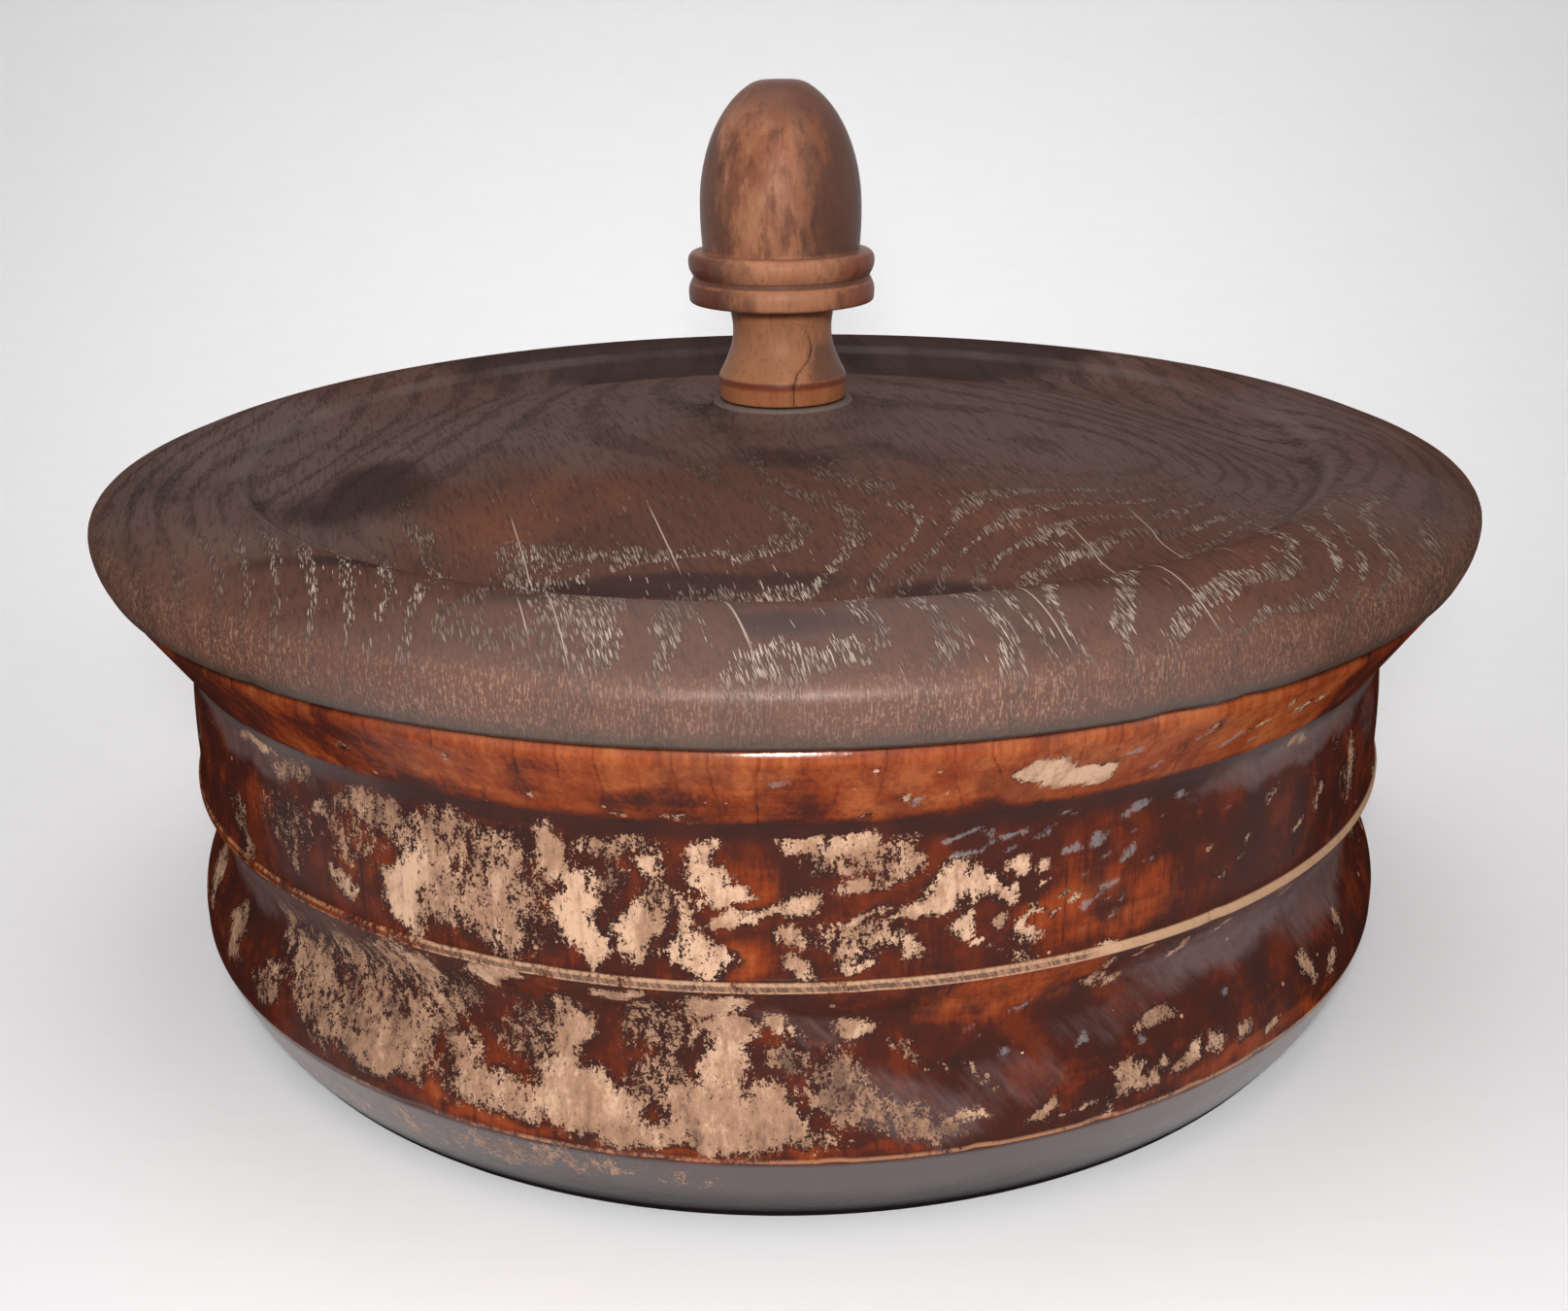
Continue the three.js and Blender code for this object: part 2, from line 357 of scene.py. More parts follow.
wallWear = [
    (-33.5, 75, 22, 7, 6, 0.62, 0.3), (-26, 73.5, 40, 10, 0, 0.6, 0.35), (-23.5, 64.5, 26, 20, 0, 0.6, 0.5),
    (-27, 70, 10, 8, 20, 0.72, 0.6), (-22, 58, 14, 7, 10, 0.62, 0.5), (-36, 69, 14, 12, 0, 0.42, 0.4),
    (-30.6, 61, 8, 16, 0, 1, 0.9), (-29.2, 67, 6, 8, 20, 0.85, 0.8), (-37.6, 59, 6, 6, 0, 0.8, 0.55),
    (-44, 60, 9, 7, 0, 0.42, 0.4), (-49, 79, 18, 2.4, 4, 0.8, 0.6), (-43, 77, 14, 5, 6, 0.45, 0.5),
    (-45, 66, 20, 12, 0, 0.36, 0.5), (-53, 60, 8, 10, 20, 0.42, 0.5), (-39.5, 72, 3, 4, 0, 0.7, 0.6),
    (-17.2, 74, 4, 12, 14, 1, 0.6), (-15.6, 64, 8, 17, 10, 1, 0.85), (-14.6, 56, 3.4, 6, 0, 0.95, 0.7),
    (-12.4, 76.6, 16, 4, 0, 0.62, 0.4), (-10.9, 62, 7, 9, 0, 0.92, 0.7), (-12, 57.4, 3, 5, 20, 0.85, 0.7),
    (-9.6, 73, 6, 4, -15, 0.8, 0.6), (-13.4, 70, 6, 8, 0, 0.42, 0.3), (-9.4, 67, 9, 9, 0, 0.55, 0.45),
    (-5.9, 75, 6, 10, 0, 0.78, 0.7), (-4.8, 68.6, 8, 3, -8, 0.95, 0.75), (-4.2, 64.8, 7, 3, 4, 0.95, 0.75),
    (-6.6, 57.4, 10, 9, 25, 0.78, 1), (-7.6, 63, 4, 9, 10, 0.6, 0.8), (0.8, 78.8, 5, 3, 0, 0.85, 0.7),
    (4.2, 77.6, 10, 4, 0, 0.9, 0.75), (5.6, 75, 18, 8, 0, 0.6, 0.45), (8.8, 76.4, 5, 7, 0, 0.72, 0.5),
    (0.2, 68, 8, 4, 30, 0.85, 0.7), (-1.8, 64.8, 6, 2, 12, 0.9, 0.75), (4.8, 69.6, 8, 2.6, 0, 0.85, 0.7),
    (6.4, 64.4, 18, 1.3, 4, 0.85, 0.75), (12.2, 69.2, 12, 8, 0, 1, 0.78), (10, 66, 8, 4, 12, 0.9, 0.7),
    (15.6, 66.4, 8, 3, -40, 0.9, 0.72), (13.6, 59.6, 1.6, 11, 38, 0.9, 0.75), (15.8, 60.8, 2.6, 3.2, 0, 1, 0.7),
    (0.2, 60.8, 6, 4, 0, 0.75, 0.65), (5, 60.4, 13, 7, 0, 0.56, 0.45), (0.4, 55.4, 5, 4, 0, 0.88, 0.7),
    (4.4, 55.6, 5, 3, 0, 0.7, 0.6), (8, 59.4, 3, 8, 30, 0.72, 0.6), (9, 75, 5, 3, 10, 0.6, 0.6),
    (17.5, 58, 6, 3, 20, 0.5, 0.55), (18.6, 69, 0.9, 7, 28, 0.8, 0.6), (20.5, 61.5, 2, 2, 0, 0.7, 0.6),
    (16.8, 54, 5, 1.6, 0, 0.85, 0.7), (29, 71, 1.6, 1.6, 0, 0.8, 0.6), (36, 60, 3, 2, -20, 0.7, 0.6),
    (45.6, 59, 1, 9, -18, 0.75, 0.55), (49, 66, 3, 9, 15, 0.72, 0.5), (44.6, 79.4, 9, 2, 4, 0.75, 0.5),
    (56, 66, 8, 15, 0, 0.5, 0.4), (41, 71, 3, 2, 0, 0.5, 0.6), (52, 72, 3, 3, 0, 0.6, 0.6),
    (24, 52.6, 5, 2, 20, 0.8, 0.7), (-52, 56, 6, 8, 0, 0.4, 0.4), (19.2, 74.6, 0.7, 6, 30, 0.85, 0.6),
    (21.2, 63.6, 3, 1.4, -20, 0.8, 0.6), (19, 63.4, 3, 1.6, -30, 0.8, 0.6), (24.4, 61, 2.4, 1.2, 10, 0.75, 0.6),
    (16.8, 71.6, 2.2, 3, 20, 0.8, 0.6), (17.2, 60.2, 2.2, 2.6, 0, 0.85, 0.65),
    (33.6, 66, 1.4, 1.2, 0, 0.7, 0.6), (38.4, 61.6, 0.9, 8, -22, 0.85, 0.6),
    (20.2, 61, 2.6, 1.6, -30, 0.8, 0.6),
]
footWear = [
    (-5.4, 47.6, 12, 6, 0, 0.95, 0.6), (-5, 37, 9, 20, 0, 1, 0.55), (-6, 27, 17, 12, 0, 0.95, 0.45),
    (-17.4, 38, 8, 15, -8, 0.85, 0.55), (-15.6, 27, 19, 13, 0, 0.95, 0.5), (-10.6, 41, 13, 13, 0, 0.42, 0.3),
    (-7, 23, 44, 6, 0, 0.85, 0.45), (-1, 43, 8, 4, -25, 0.75, 0.5), (-0.5, 36.4, 7, 6, 0, 0.6, 0.1),
    (-2, 26, 13, 12, 0, 0.92, 0.42), (4, 31, 15, 9, -38, 0.66, 0.2), (8.4, 25, 18, 7, -12, 0.58, 0.12),
    (4.6, 41.4, 5, 5, 0, 0.68, 0.45), (9.6, 36.4, 1.4, 13, 52, 0.6, 0.4), (12.6, 25.4, 8, 2.4, -20, 0.8, 0.5),
    (14.4, 31, 1.2, 12, 58, 0.55, 0.4), (-12.4, 49, 8, 3, 0, 0.85, 0.6), (-10, 33, 8, 8, 0, 0.6, 0.4),
    (-38, 31, 26, 14, 35, 0.62, 0.3), (-47, 40, 12, 12, 35, 0.5, 0.3), (-33.5, 28, 23, 11, 6, 0.85, 0.36),
    (-44, 34, 15, 16, 35, 0.64, 0.4), (-30, 37, 24, 13, 35, 0.6, 0.35), (-23, 26, 22, 9, 0, 0.72, 0.42),
    (-20.4, 38, 14, 10, 0, 0.45, 0.1), (-29.6, 46, 10, 8, -30, 0.75, 0.6), (-23, 49, 11, 4, 25, 0.95, 0.78),
    (-58, 30, 8, 11, 0, 0.72, 0.4), (-50, 27, 12, 8, 30, 0.55, 0.4), (-39, 42, 12, 9, 40, 0.55, 0.4),
    (-26, 31, 8, 8, 30, 0.6, 0.4), (-34, 44, 20, 9, 35, 0.52, 0.5), (19, 24, 5, 3, 20, 0.9, 0.5),
    (26.6, 26, 7, 6, 30, 0.8, 0.5), (28.8, 24, 6, 4, 10, 0.75, 0.5), (25, 23, 1.4, 8, -12, 0.7, 0.5),
    (32.6, 25.6, 8, 4, 40, 0.75, 0.5), (35.6, 26.4, 5, 5, 30, 0.8, 0.5), (38.4, 24, 4, 4, 0, 0.8, 0.5),
    (30.4, 33.4, 9, 3, 14, 0.75, 0.5), (49, 29, 5, 7, 0, 0.72, 0.45), (53, 25, 4, 5, 0, 0.7, 0.45),
    (57, 31, 3, 8, 20, 0.6, 0.45), (22, 21.6, 10, 1.6, 0, 0.6, 0.4), (42.6, 23.4, 3, 3, 0, 0.7, 0.5),
    (24.6, 48.8, 1.4, 5, -35, 0.75, 0.6), (33, 48.6, 1.2, 4, -30, 0.7, 0.6),
    (24.5, 45.6, 3.4, 3.6, 20, 0.72, 0.55), (26.2, 44, 2.6, 2, 0, 0.72, 0.55),
    (28, 48.4, 0.9, 5, -30, 0.85, 0.6), (36.6, 48.2, 0.9, 5, -30, 0.8, 0.6),
    (31.6, 46.6, 1.2, 1.2, 0, 0.8, 0.6), (45, 47, 1, 4, -25, 0.7, 0.5),
]
chamferWear = [
    (-22, 13, 40, 7, 6, 0.52, 0.1), (-13, 14, 10, 3, 20, 0.65, 0.25), (-36, 10, 40, 9, 6, 0.44, 0.05),
    (-8, 13, 14, 4, 10, 0.4, 0), (-48, 10, 30, 8, 0, 0.42, 0),
]

# In the next lists the last number is how much
# Where the finish is thin and glows orange
thinFinish = [
    (-26, 68, 5, 9, 0, 0.9), (-3.6, 57, 6, 8, 0, 0.8), (-2, 71, 8, 8, 0, 0.45), (21, 62, 24, 8, 8, 0.7),
    (17, 47, 34, 10, 8, 0.75), (30, 63, 16, 8, 0, 0.45), (26, 57, 34, 6, 4, 0.7), (-35, 66, 12, 12, 0, 0.55),
    (-50, 66, 18, 10, 0, 0.35), (-12, 20.4, 90, 3.5, 0, 0.7), (40, 21, 60, 3.5, 0, 0.6),
    (-29, 24, 6, 5, 0, 0.8), (-13.6, 46, 6, 5, 0, 0.6), (36, 68, 10, 6, 0, 0.5),
]
# Where the finish lies thick and dark; the last three are painted shade at the band's two sides
thickFinishAndSideShade = [
    (-8, 87, 26, 8, 0, 0.8), (0.4, 86, 14, 10, 0, 0.7), (-18, 90, 5, 10, 0, 0.5), (-27, 84.5, 30, 4, 0, 0.6),
    (12, 84, 18, 3, 0, 0.5), (36, 61, 26, 20, 0, 0.55), (44, 66, 14, 14, 0, 0.4), (32, 37, 50, 12, 0, 0.55),
    (8, 38, 26, 9, -20, 0.6), (14, 71, 20, 10, 0, 0.4), (-3, 79, 10, 3, 0, 0.5), (-12, 45, 10, 6, 0, 0.4),
    (50, 90, 30, 18, 0, 0.9), (-50, 90, 50, 18, 0, 1.1), (-34, 90, 24, 16, 0, 0.75),
]
# Grey-mauve film where the foot is scuffed, and painted reflection of the pale floor in the hollows
filmAndSheen = [
    (9, 27, 30, 13, -14, 0.6), (17, 30, 20, 11, 0, 0.45), (38, 43, 50, 13, 0, 0.8), (54, 42, 40, 20, 0, 0.8),
    (46, 77.5, 60, 7, 0, 0.8), (62, 72, 16, 14, 0, 0.45), (-50, 76.5, 46, 7, 0, 0.7), (-66, 70, 10, 12, 0, 0.4),
    (-56, 43.5, 40, 12, 0, 0.7), (-38, 46, 26, 6, 0, 0.4), (1, 42, 20, 8, -20, 0.5), (26, 36, 26, 8, 0, 0.4),
    (120, 43, 90, 14, 0, 0.7), (-130, 43, 90, 14, 0, 0.7), (100, 77.5, 80, 7, 0, 0.7),
    (-110, 77, 90, 7, 0, 0.7), (180, 42, 60, 13, 0, 0.6), (170, 77, 90, 7, 0, 0.6),
]
# Grey bruises, each at full strength
scuffs = [
    (27.2, 76.9, 4.6, 2.6, 14), (23.7, 73.9, 3.6, 3.6, 0), (26.2, 69.8, 2.6, 2.6, 0), (27.8, 66.2, 2.6, 3, 0),
    (21.5, 72.8, 2.2, 2.4, 0), (24.5, 65.5, 2.4, 2.4, 0), (26.9, 87.4, 3, 2.6, 0), (23.9, 91.6, 3, 2.4, 0),
    (22.8, 60.9, 2.4, 2.6, 0), (25.5, 60.2, 2.2, 2.2, 0), (15.1, 77.2, 4.6, 1.8, 8), (26.4, 77.4, 5, 1.6, 16),
    (23.6, 73.2, 4.4, 2.6, 14), (14.2, 78.4, 5, 1.4, 4), (17.4, 77.2, 4, 1.6, 10), (28, 66.4, 2, 2.4, 0),
    (25.6, 69.6, 2, 1.8, 0), (24.2, 70.8, 1.6, 1.4, 0), (40.6, 69.6, 2, 2.2, 0), (22, 57.6, 2, 3, 0),
    (25.4, 58.4, 2, 2, 0), (0, 91.6, 3, 2, 0), (30, 92, 3, 2.2, 0), (32.6, 88.4, 2.4, 2, 0),
    (17.6, 42, 4, 1.4, 16), (16.8, 35, 5, 1.6, 18), (23, 33.6, 2, 3, 0), (19.4, 76, 4, 1.2, 6),
    (38, 31.6, 2, 2, 0), (21, 78.6, 5, 1, 8), (8, 87, 3, 2.4, 0), (29.6, 74, 1.4, 1.6, 0),
    (31, 71, 1.2, 1.4, 0), (13, 73.6, 6, 1.2, 10), (34, 90, 2.6, 2.6, 0), (36.4, 87.6, 2, 1.6, 0),
    (33.2, 75, 1.6, 1.6, 0), (36, 72, 1.4, 1.4, 0), (22, 66.4, 1.4, 1.8, 0), (20.4, 71.6, 1.8, 1.6, 20),
    (27, 72.2, 1.2, 1.2, 0), (30.4, 67.6, 1.6, 1.6, 0), (24, 63.6, 1.4, 2.4, 0), (26.4, 62.4, 1.6, 2.6, 0),
    (12, 77, 4, 1.2, 4), (16.4, 74.6, 3, 1.2, 20), (31.6, 78.2, 4, 1.6, 14), (28.6, 31, 3, 1.6, 30),
    (14, 38.6, 3, 1.2, 16),
]
# Dents in the bowl: the last number is the depth
bowlNicks = [
    (3, 18.8, 4.5, 2.4, 0, 0.4), (14, 18.8, 4, 2.2, 0, 0.45), (-10, 18.6, 6, 2.2, 0, 0.35),
    (24, 18.8, 5, 2.6, 0, 0.5), (-30, 18.6, 5, 2.2, 0, 0.4), (41, 18.8, 4, 2.4, 0, 0.4),
    (33, 19, 3.5, 2, 0, 0.35), (-19, 51.8, 4, 2, 0, 0.3), (-25, 51.8, 6, 2, 0, 0.35),
    (6.4, 51.8, 4, 2, 0, 0.25), (35, 51.8, 5, 2.2, 0, 0.3), (92, 18.8, 6, 2.6, 0, 0.5),
    (150, 18.8, 5, 2.6, 0, 0.5), (205, 51.8, 8, 2.4, 0, 0.4), (262, 18.8, 7, 2.8, 0, 0.5),
    (238, 97, 6, 3, 0, 0.4),
]


def bowlOutline(size):
    at = SimpleNamespace(**size)
    ridgeTop = at.ridgeHeight + at.ridgeFace
    chamferMiddle = ((at.baseRadius + at.footRadius) / 2 + 0.8, at.footEdge / 2 - 0.8)
    return [
        (0, at.hollowDepth, 0),
        (at.baseHollow, at.hollowDepth, 0.5),
        (at.baseHollow + at.hollowDepth, 0, 0),
        (at.baseRadius, 0, 0.4),
        (*chamferMiddle, 4.4),
        (at.footRadius, at.footEdge, 0.8),
        (at.footRadius, at.footSwell, 3.8),
        (at.coveRadius, at.coveHeight, 5.5),
        (at.ridgeRadius, at.ridgeHeight, 0.35),
        (at.ridgeRadius, ridgeTop, 0.45),
        (at.wallRadius, ridgeTop + at.ridgeShoulder, 0.4),
        (at.wallRadius, (ridgeTop + at.bandHeight) / 2, 5),
        (at.creaseRadius, at.bandHeight - 3, 1.8),
        (at.bandLowRadius, at.bandHeight, 0.8),
        (at.bandRadius - 0.1, at.height - at.lipDrop, at.bandRounding),
        (at.bandRadius - at.lipLean, at.height, 0.8),
        (at.mouthRadius, at.height, 1.2),
        (at.mouthRadius, at.height - at.mouthDepth, 2),
        (at.insideRadius, at.floor, at.floorCurve),
        (0, at.floor, 0),
    ]


# The back and sides, which the photograph hides, wear in the same manner as the front
def wearRoundTheBack(size):
    draw = random.Random(size["backSeed"])
    patches = []
    for _ in range(size["backPatches"]):
        angle = draw.uniform(64, 296)
        level = draw.choice((draw.uniform(22, 46), draw.uniform(56, 78)))
        wide, tall = draw.uniform(5, 22), draw.uniform(5, 16)
        bare, pale = draw.uniform(0.45, 0.85), draw.uniform(0.3, 0.7)
        patches.append((angle, level, wide, tall, draw.uniform(-30, 30), bare, pale))
    for _ in range(size["backChips"]):
        angle, level = draw.uniform(60, 300), draw.uniform(20, 96)
        wide, tall = draw.uniform(1.5, 4), draw.uniform(1, 4)
        patches.append((angle, level, wide, tall, draw.uniform(-40, 40), 0.8, 0.6))
    return patches


def wearTheBowl(piece):
    angle, height, radius = cylindrical(piece)
    outside = (radius > bowl["mouthRadius"] + 1).astype(float)
    # Ripples make the patches' edges ragged
    around = np.radians(angle) * bowl["wallRadius"]
    swerve = 0.5 * np.sin(height / 2.3 + 1.1 * np.sin(around / 4.1))
    angle = angle + swerve + 0.3 * np.sin(height / 1.1 + around / 3)
    swell = 0.8 * np.sin(around / 2.9 + 1.3 * np.sin(height / 5.3))
    height = height + swell + 0.4 * np.sin(around / 1.3)
    surface = angle, height, radius
    wear = [*bandWear, *wallWear, *footWear, *chamferWear, *wearRoundTheBack(bowl)]
    paleSum = np.full(len(angle), 0.05)
    weight = np.full(len(angle), 0.1)
    for *shape, amount, pale in wear:
        strength = patchAt(surface, *shape) * amount
        paleSum += strength * strength * pale
        weight += strength * strength
    bruises = [(*shape, 1) for shape in scuffs]
    paint(piece, "bare", strongest(surface, [patch[:-1] for patch in wear]) * outside)
    paint(piece, "pale", paleSum / weight)
    paint(piece, "thinAndSideShade", strongest(surface, thinFinish) - strongest(surface, thickFinishAndSideShade))
    paint(piece, "scuffed", strongest(surface, bruises) * outside)
    paint(piece, "filmAndSheen", strongest(surface, filmAndSheen) * outside)


bowlLooks = {
    "blackFinishAndShade": (0.032, 0.014, 0.012, 1), "darkFinish": (0.058, 0.015, 0.010, 1),
    "redFinish": (0.20, 0.034, 0.010, 1), "amberFinish": (0.40, 0.115, 0.036, 1),
    "paleWood": (0.58, 0.37, 0.245, 1), "midWood": (0.33, 0.185, 0.115, 1),
    "dirtyWood": (0.135, 0.078, 0.055, 1), "woodPore": (0.11, 0.055, 0.034, 1),
    "ridgeWood": (0.50, 0.30, 0.18, 1), "wornEdge": (0.45, 0.19, 0.085, 1),
    "scuff": (0.25, 0.225, 0.225, 1), "dustAndSheen": (0.17, 0.135, 0.125, 1), "filmAndSheenGrey": (0.165, 0.112, 0.106, 1),
    "chamferContactShadow": (0.012, 0.008, 0.008, 1), "chamferReflectionGrey": (0.080, 0.062, 0.062, 1),
    "chamferReflectionPale": (0.135, 0.108, 0.103, 1), "insideWood": (0.16, 0.062, 0.030, 1),
    "shineTint": (0.62, 0.50, 0.46, 1),
    "ringHeart": (-420, -130), "ringSpacing": 6.5, "smearLean": 40, "hatchLean": 28,
    # Heights where a part of the surface begins and is full, and where it is still full and has gone
    "onBand": (82, 84.5), "onLip": (97.2, 98.4), "offChamfer": (16.6, 18.2), "aboveFoot": (18, 19),
    "crease": (76.5, 80, 82, 83), "cove": (42, 46, 49.5, 51),
    "ridge": (50.9, 51.1, 52.75, 53), "footEdge": (17.9, 18.2, 18.5, 19.2),
    "ridgeTopLip": (52.15, 52.45), "ridgeLowLip": (51.2, 51.45), "filmAndSheenEnds": (80.6, 82.4),
    "chips": 3.4, "chipChance": 0.10,
    # Distances to the side where the sheen begins to go and has gone
    "sheenGoes": (76, 118), "bandSheenGoes": (50, 92),
}


def bowlMaterial(looks):
    material, shader = freshMaterial("worn_red_brown_finish", looks)
    x, y, z = split(placeIn())
    bare, pale, thinAndSideShade, filmAndSheenAmount, scuffed = (painted(name) for name in ("bare", "pale", "thinAndSideShade", "filmAndSheen", "scuffed"))
    sidelong = calc("ABSOLUTE", x)
    smearTurn = (0, math.radians(looks["smearLean"]), 0)
    # Growth rings round a heart well to one side, so that their lines stand upright at the front
    heartX, heartY = looks["ringHeart"]
    fromHeart = distance(calc("SUBTRACT", x, heartX), calc("SUBTRACT", y, heartY))
    wander = noise(30, 3, stretch=(1, 1, 0.12))
    ring = calc("FRACT", add(calc("DIVIDE", fromHeart, looks["ringSpacing"]), times(wander, 2.2)))
    lineChance = ramp(noise(9, 3, stretch=(1, 1, 0.3), shift=(0, 0, 60)), 0.42, 0.60)
    ringLine = times(zone(ring, 0.86, 0.96, 0.965, 0.985), lineChance)
    # The finish: thick and dark, thinner and orange in places and on the rim band, with painted shade at the
    # band's two sides
    cloud = noise(17, 5, 0.58, stretch=(1, 1, 0.9))
    blotch = noise(6, 5, 0.62, stretch=(1, 1, 1.3), shift=(31, 7, 3))
    turning = noise(3, 4, 0.6, stretch=(0.12, 0.12, 2.2))
    staves = noise(6, 4, 0.6, stretch=(1, 1, 0.16), shift=(11, 0, 0))
    grain = noise(0.9, 4, 0.65, stretch=(1, 1, 0.14), shift=(0, 5, 0))
    onBand = ramp(z, *looks["onBand"])
    amber = add(times(onBand, 0.60), add(times(thinAndSideShade, 0.62), 0.02))
    amber = add(amber, swing(cloud, 1.0), swing(blotch, 0.7), swing(turning, 0.4))
    amber = add(amber, times(swing(staves, 1.3), onBand), swing(grain, 0.7))
    amber = calc("SUBTRACT", amber, times(ringLine, 0.26), clamp=True)
    deep = noise(9, 6, 0.62, stretch=(1, 1, 0.7), shift=(70, 20, 0))
    deepDark = times(ramp(deep, 0.46, 0.66), mixValue(onBand, 0.7, 0.35))
    speck = ramp(noise(0.9, 3, 0.7, stretch=(1, 1, 0.6)), 0.58, 0.72)
    finish = mixColour(ramp(amber, 0.02, 0.50), "darkFinish", "redFinish")
    finish = layer(finish, (ramp(amber, 0.30, 1.15), "amberFinish"), (deepDark, "blackFinishAndShade"),
                   (times(fall(deep, 0.36, 0.50), 0.35), "redFinish"), (times(speck, 0.35), "blackFinishAndShade"))
    # Grime has blackened the finish round what has worn away, and painted shade darkens the crease under the
    # band
    smoke = noise(5, 6, 0.66, stretch=(1, 1, 0.6), shift=(0, 12, 9))
    grimeAndCreaseShade = times(ramp(add(bare, swing(smoke, 2.2)), 0.10, 0.50), ramp(bare, 0.04, 0.3))
    # Painted shade: the crease under the band is darkened
    crease = zone(z, *looks["crease"])
    grimeAndCreaseShade = largest(times(grimeAndCreaseShade, 0.85), times(crease, 0.75))
    # Painted grey reflection of the pale floor lies in the hollows at the sides, and a grey film with painted
    # reflection is smeared over them
    hollows = largest(crease, zone(z, *looks["cove"]))
    hollowSheen = times(hollows, ramp(add(sidelong, swing(cloud, 40)), 66, 110, 0, 0.45))
    smear = noise(2.4, 5, 0.66, turn=smearTurn, stretch=(1.6, 1, 0.22), shift=(0, 0, 30))
    # Grey film and painted reflection, smeared over their painted patches
    smearedFilmAndSheen = ramp(add(filmAndSheenAmount, swing(smear, 0.9)), 0.15, 1.0, 0, 0.62)
    smearedFilmAndSheen = times(smearedFilmAndSheen, times(ramp(filmAndSheenAmount, 0.02, 0.3), fall(z, *looks["filmAndSheenEnds"])))
    # The chamfer under the foot is painted: near black at the bottom as contact shadow, grey above and pale at
    # the sides as painted reflection of the floor
    onChamfer = fall(z, *looks["offChamfer"])
    chamferShadeAndReflection = mixColour(ramp(add(z, swing(cloud, 6)), 2, 12), "chamferContactShadow", "chamferReflectionGrey")
    chamferShadeAndReflection = mixColour(times(ramp(sidelong, 35, 95), ramp(z, 3, 7)), chamferShadeAndReflection, "chamferReflectionPale")
    finish = layer(finish, (grimeAndCreaseShade, "blackFinishAndShade"), (hollowSheen, "dustAndSheen"), (smearedFilmAndSheen, "filmAndSheenGrey"),
                   (onChamfer, chamferShadeAndReflection))
    # Bare wood: pale where it is rubbed clean, brown with dirt elsewhere, with short upright pores
    dirt = noise(5, 7, 0.66, stretch=(1, 1, 0.45))
    dustAndSheen = noise(0.9, 4, 0.7, stretch=(1, 1, 0.6), shift=(3, 3, 3))
    paleness = calc("ADD", add(times(pale, 1.1), swing(dirt, 2.1)), swing(dustAndSheen, 0.9), clamp=True)
    pore = fall(cells(1, stretch=(2.6, 2.6, 0.42))[0], 0.10, 0.30)
    wood = mixColour(ramp(paleness, 0.0, 0.5), "dirtyWood", "midWood")
    wood = layer(wood, (ramp(paleness, 0.45, 1.0), "paleWood"), (times(ringLine, 0.25), "dirtyWood"),
                 (times(pore, 0.35), "woodPore"))
    # What is bare: the painted patches, broken up by streaks and by ever finer crumbs
    upright = noise(3.6, 6, 0.62, stretch=(1, 1, 0.38))
    slant = noise(3.8, 6, 0.62, turn=smearTurn, stretch=(1.4, 1, 0.30))
    slanting = times(largest(fall(x, -62, -40), ramp(x, 8, 22)), fall(z, 47, 51))
    streak = mixValue(slanting, upright, slant)
    fine = noise(1.35, 4, 0.75, stretch=(1, 1, 0.62))
    crumbs = noise(0.5, 3, 0.75)
    broken = add(swing(streak, 1.5), swing(fine, 2.0), swing(crumbs, 1.9))
    worn = times(ramp(add(bare, broken), 0.46, 0.55), ramp(bare, 0.02, 0.2))
    # Tiny chips strewn all over
    fromChip, luck = cells(looks["chips"], shift=(0, 0, 2))
    chipSize = ramp(luck[1], 0.2, 1.0, 0.05, 0.16)
    chipped = calc("LESS_THAN", add(fromChip, swing(crumbs, 0.10)), chipSize)
    chipped = times(chipped, calc("LESS_THAN", luck[0], looks["chipChance"]))
    worn = largest(worn, times(chipped, ramp(z, *looks["aboveFoot"])))
    # The ridge's narrow face and the edge of the foot are rubbed through
    along = noise(9, 6, 0.7, stretch=(1, 1, 0.3))
    nicks = noise(0.9, 4, 0.7, stretch=(1, 1, 0.7))
    rubbed = add(times(along, 0.75), times(nicks, 0.6), ramp(x, -90, 60, -0.06, 0.10))
    ridgeWorn = times(zone(z, *looks["ridge"]), ramp(rubbed, 0.54, 0.68))
    onFootEdge = zone(z, *looks["footEdge"])
    footWorn = times(onFootEdge, ramp(rubbed, 0.62, 0.78))
    # Its two lips are pale and its face dark and hatched, orange to the left and solid pale wood to the right
    hatch = noise(0.55, 3, 0.6, turn=(0, math.radians(looks["hatchLean"]), 0), stretch=(1, 1, 0.15))
    leftward = fall(add(x, swing(along, 30)), -80, -55)
    solid = ramp(add(x, swing(along, 50)), 46, 60)
    onLips = largest(ramp(z, *looks["ridgeTopLip"]), fall(z, *looks["ridgeLowLip"]))
    lipColour = mixColour(leftward, "ridgeWood", "wornEdge")
    solidWood = mixColour(ramp(hatch, 0.56, 0.68, 0, 0.35), "ridgeWood", "dirtyWood")
    ridgeColour = mixColour(ramp(hatch, 0.46, 0.60), "dirtyWood", "midWood")
    ridgeColour = layer(ridgeColour, (leftward, "redFinish"),
                        (times(onLips, ramp(nicks, 0.40, 0.56, 0.45, 1)), lipColour), (solid, solidWood))
    bruise = ramp(add(scuffed, add(swing(fine, 2.2), swing(crumbs, 1.2))), 0.45, 1.0)
    bruise = times(bruise, ramp(scuffed, 0.05, 0.4))
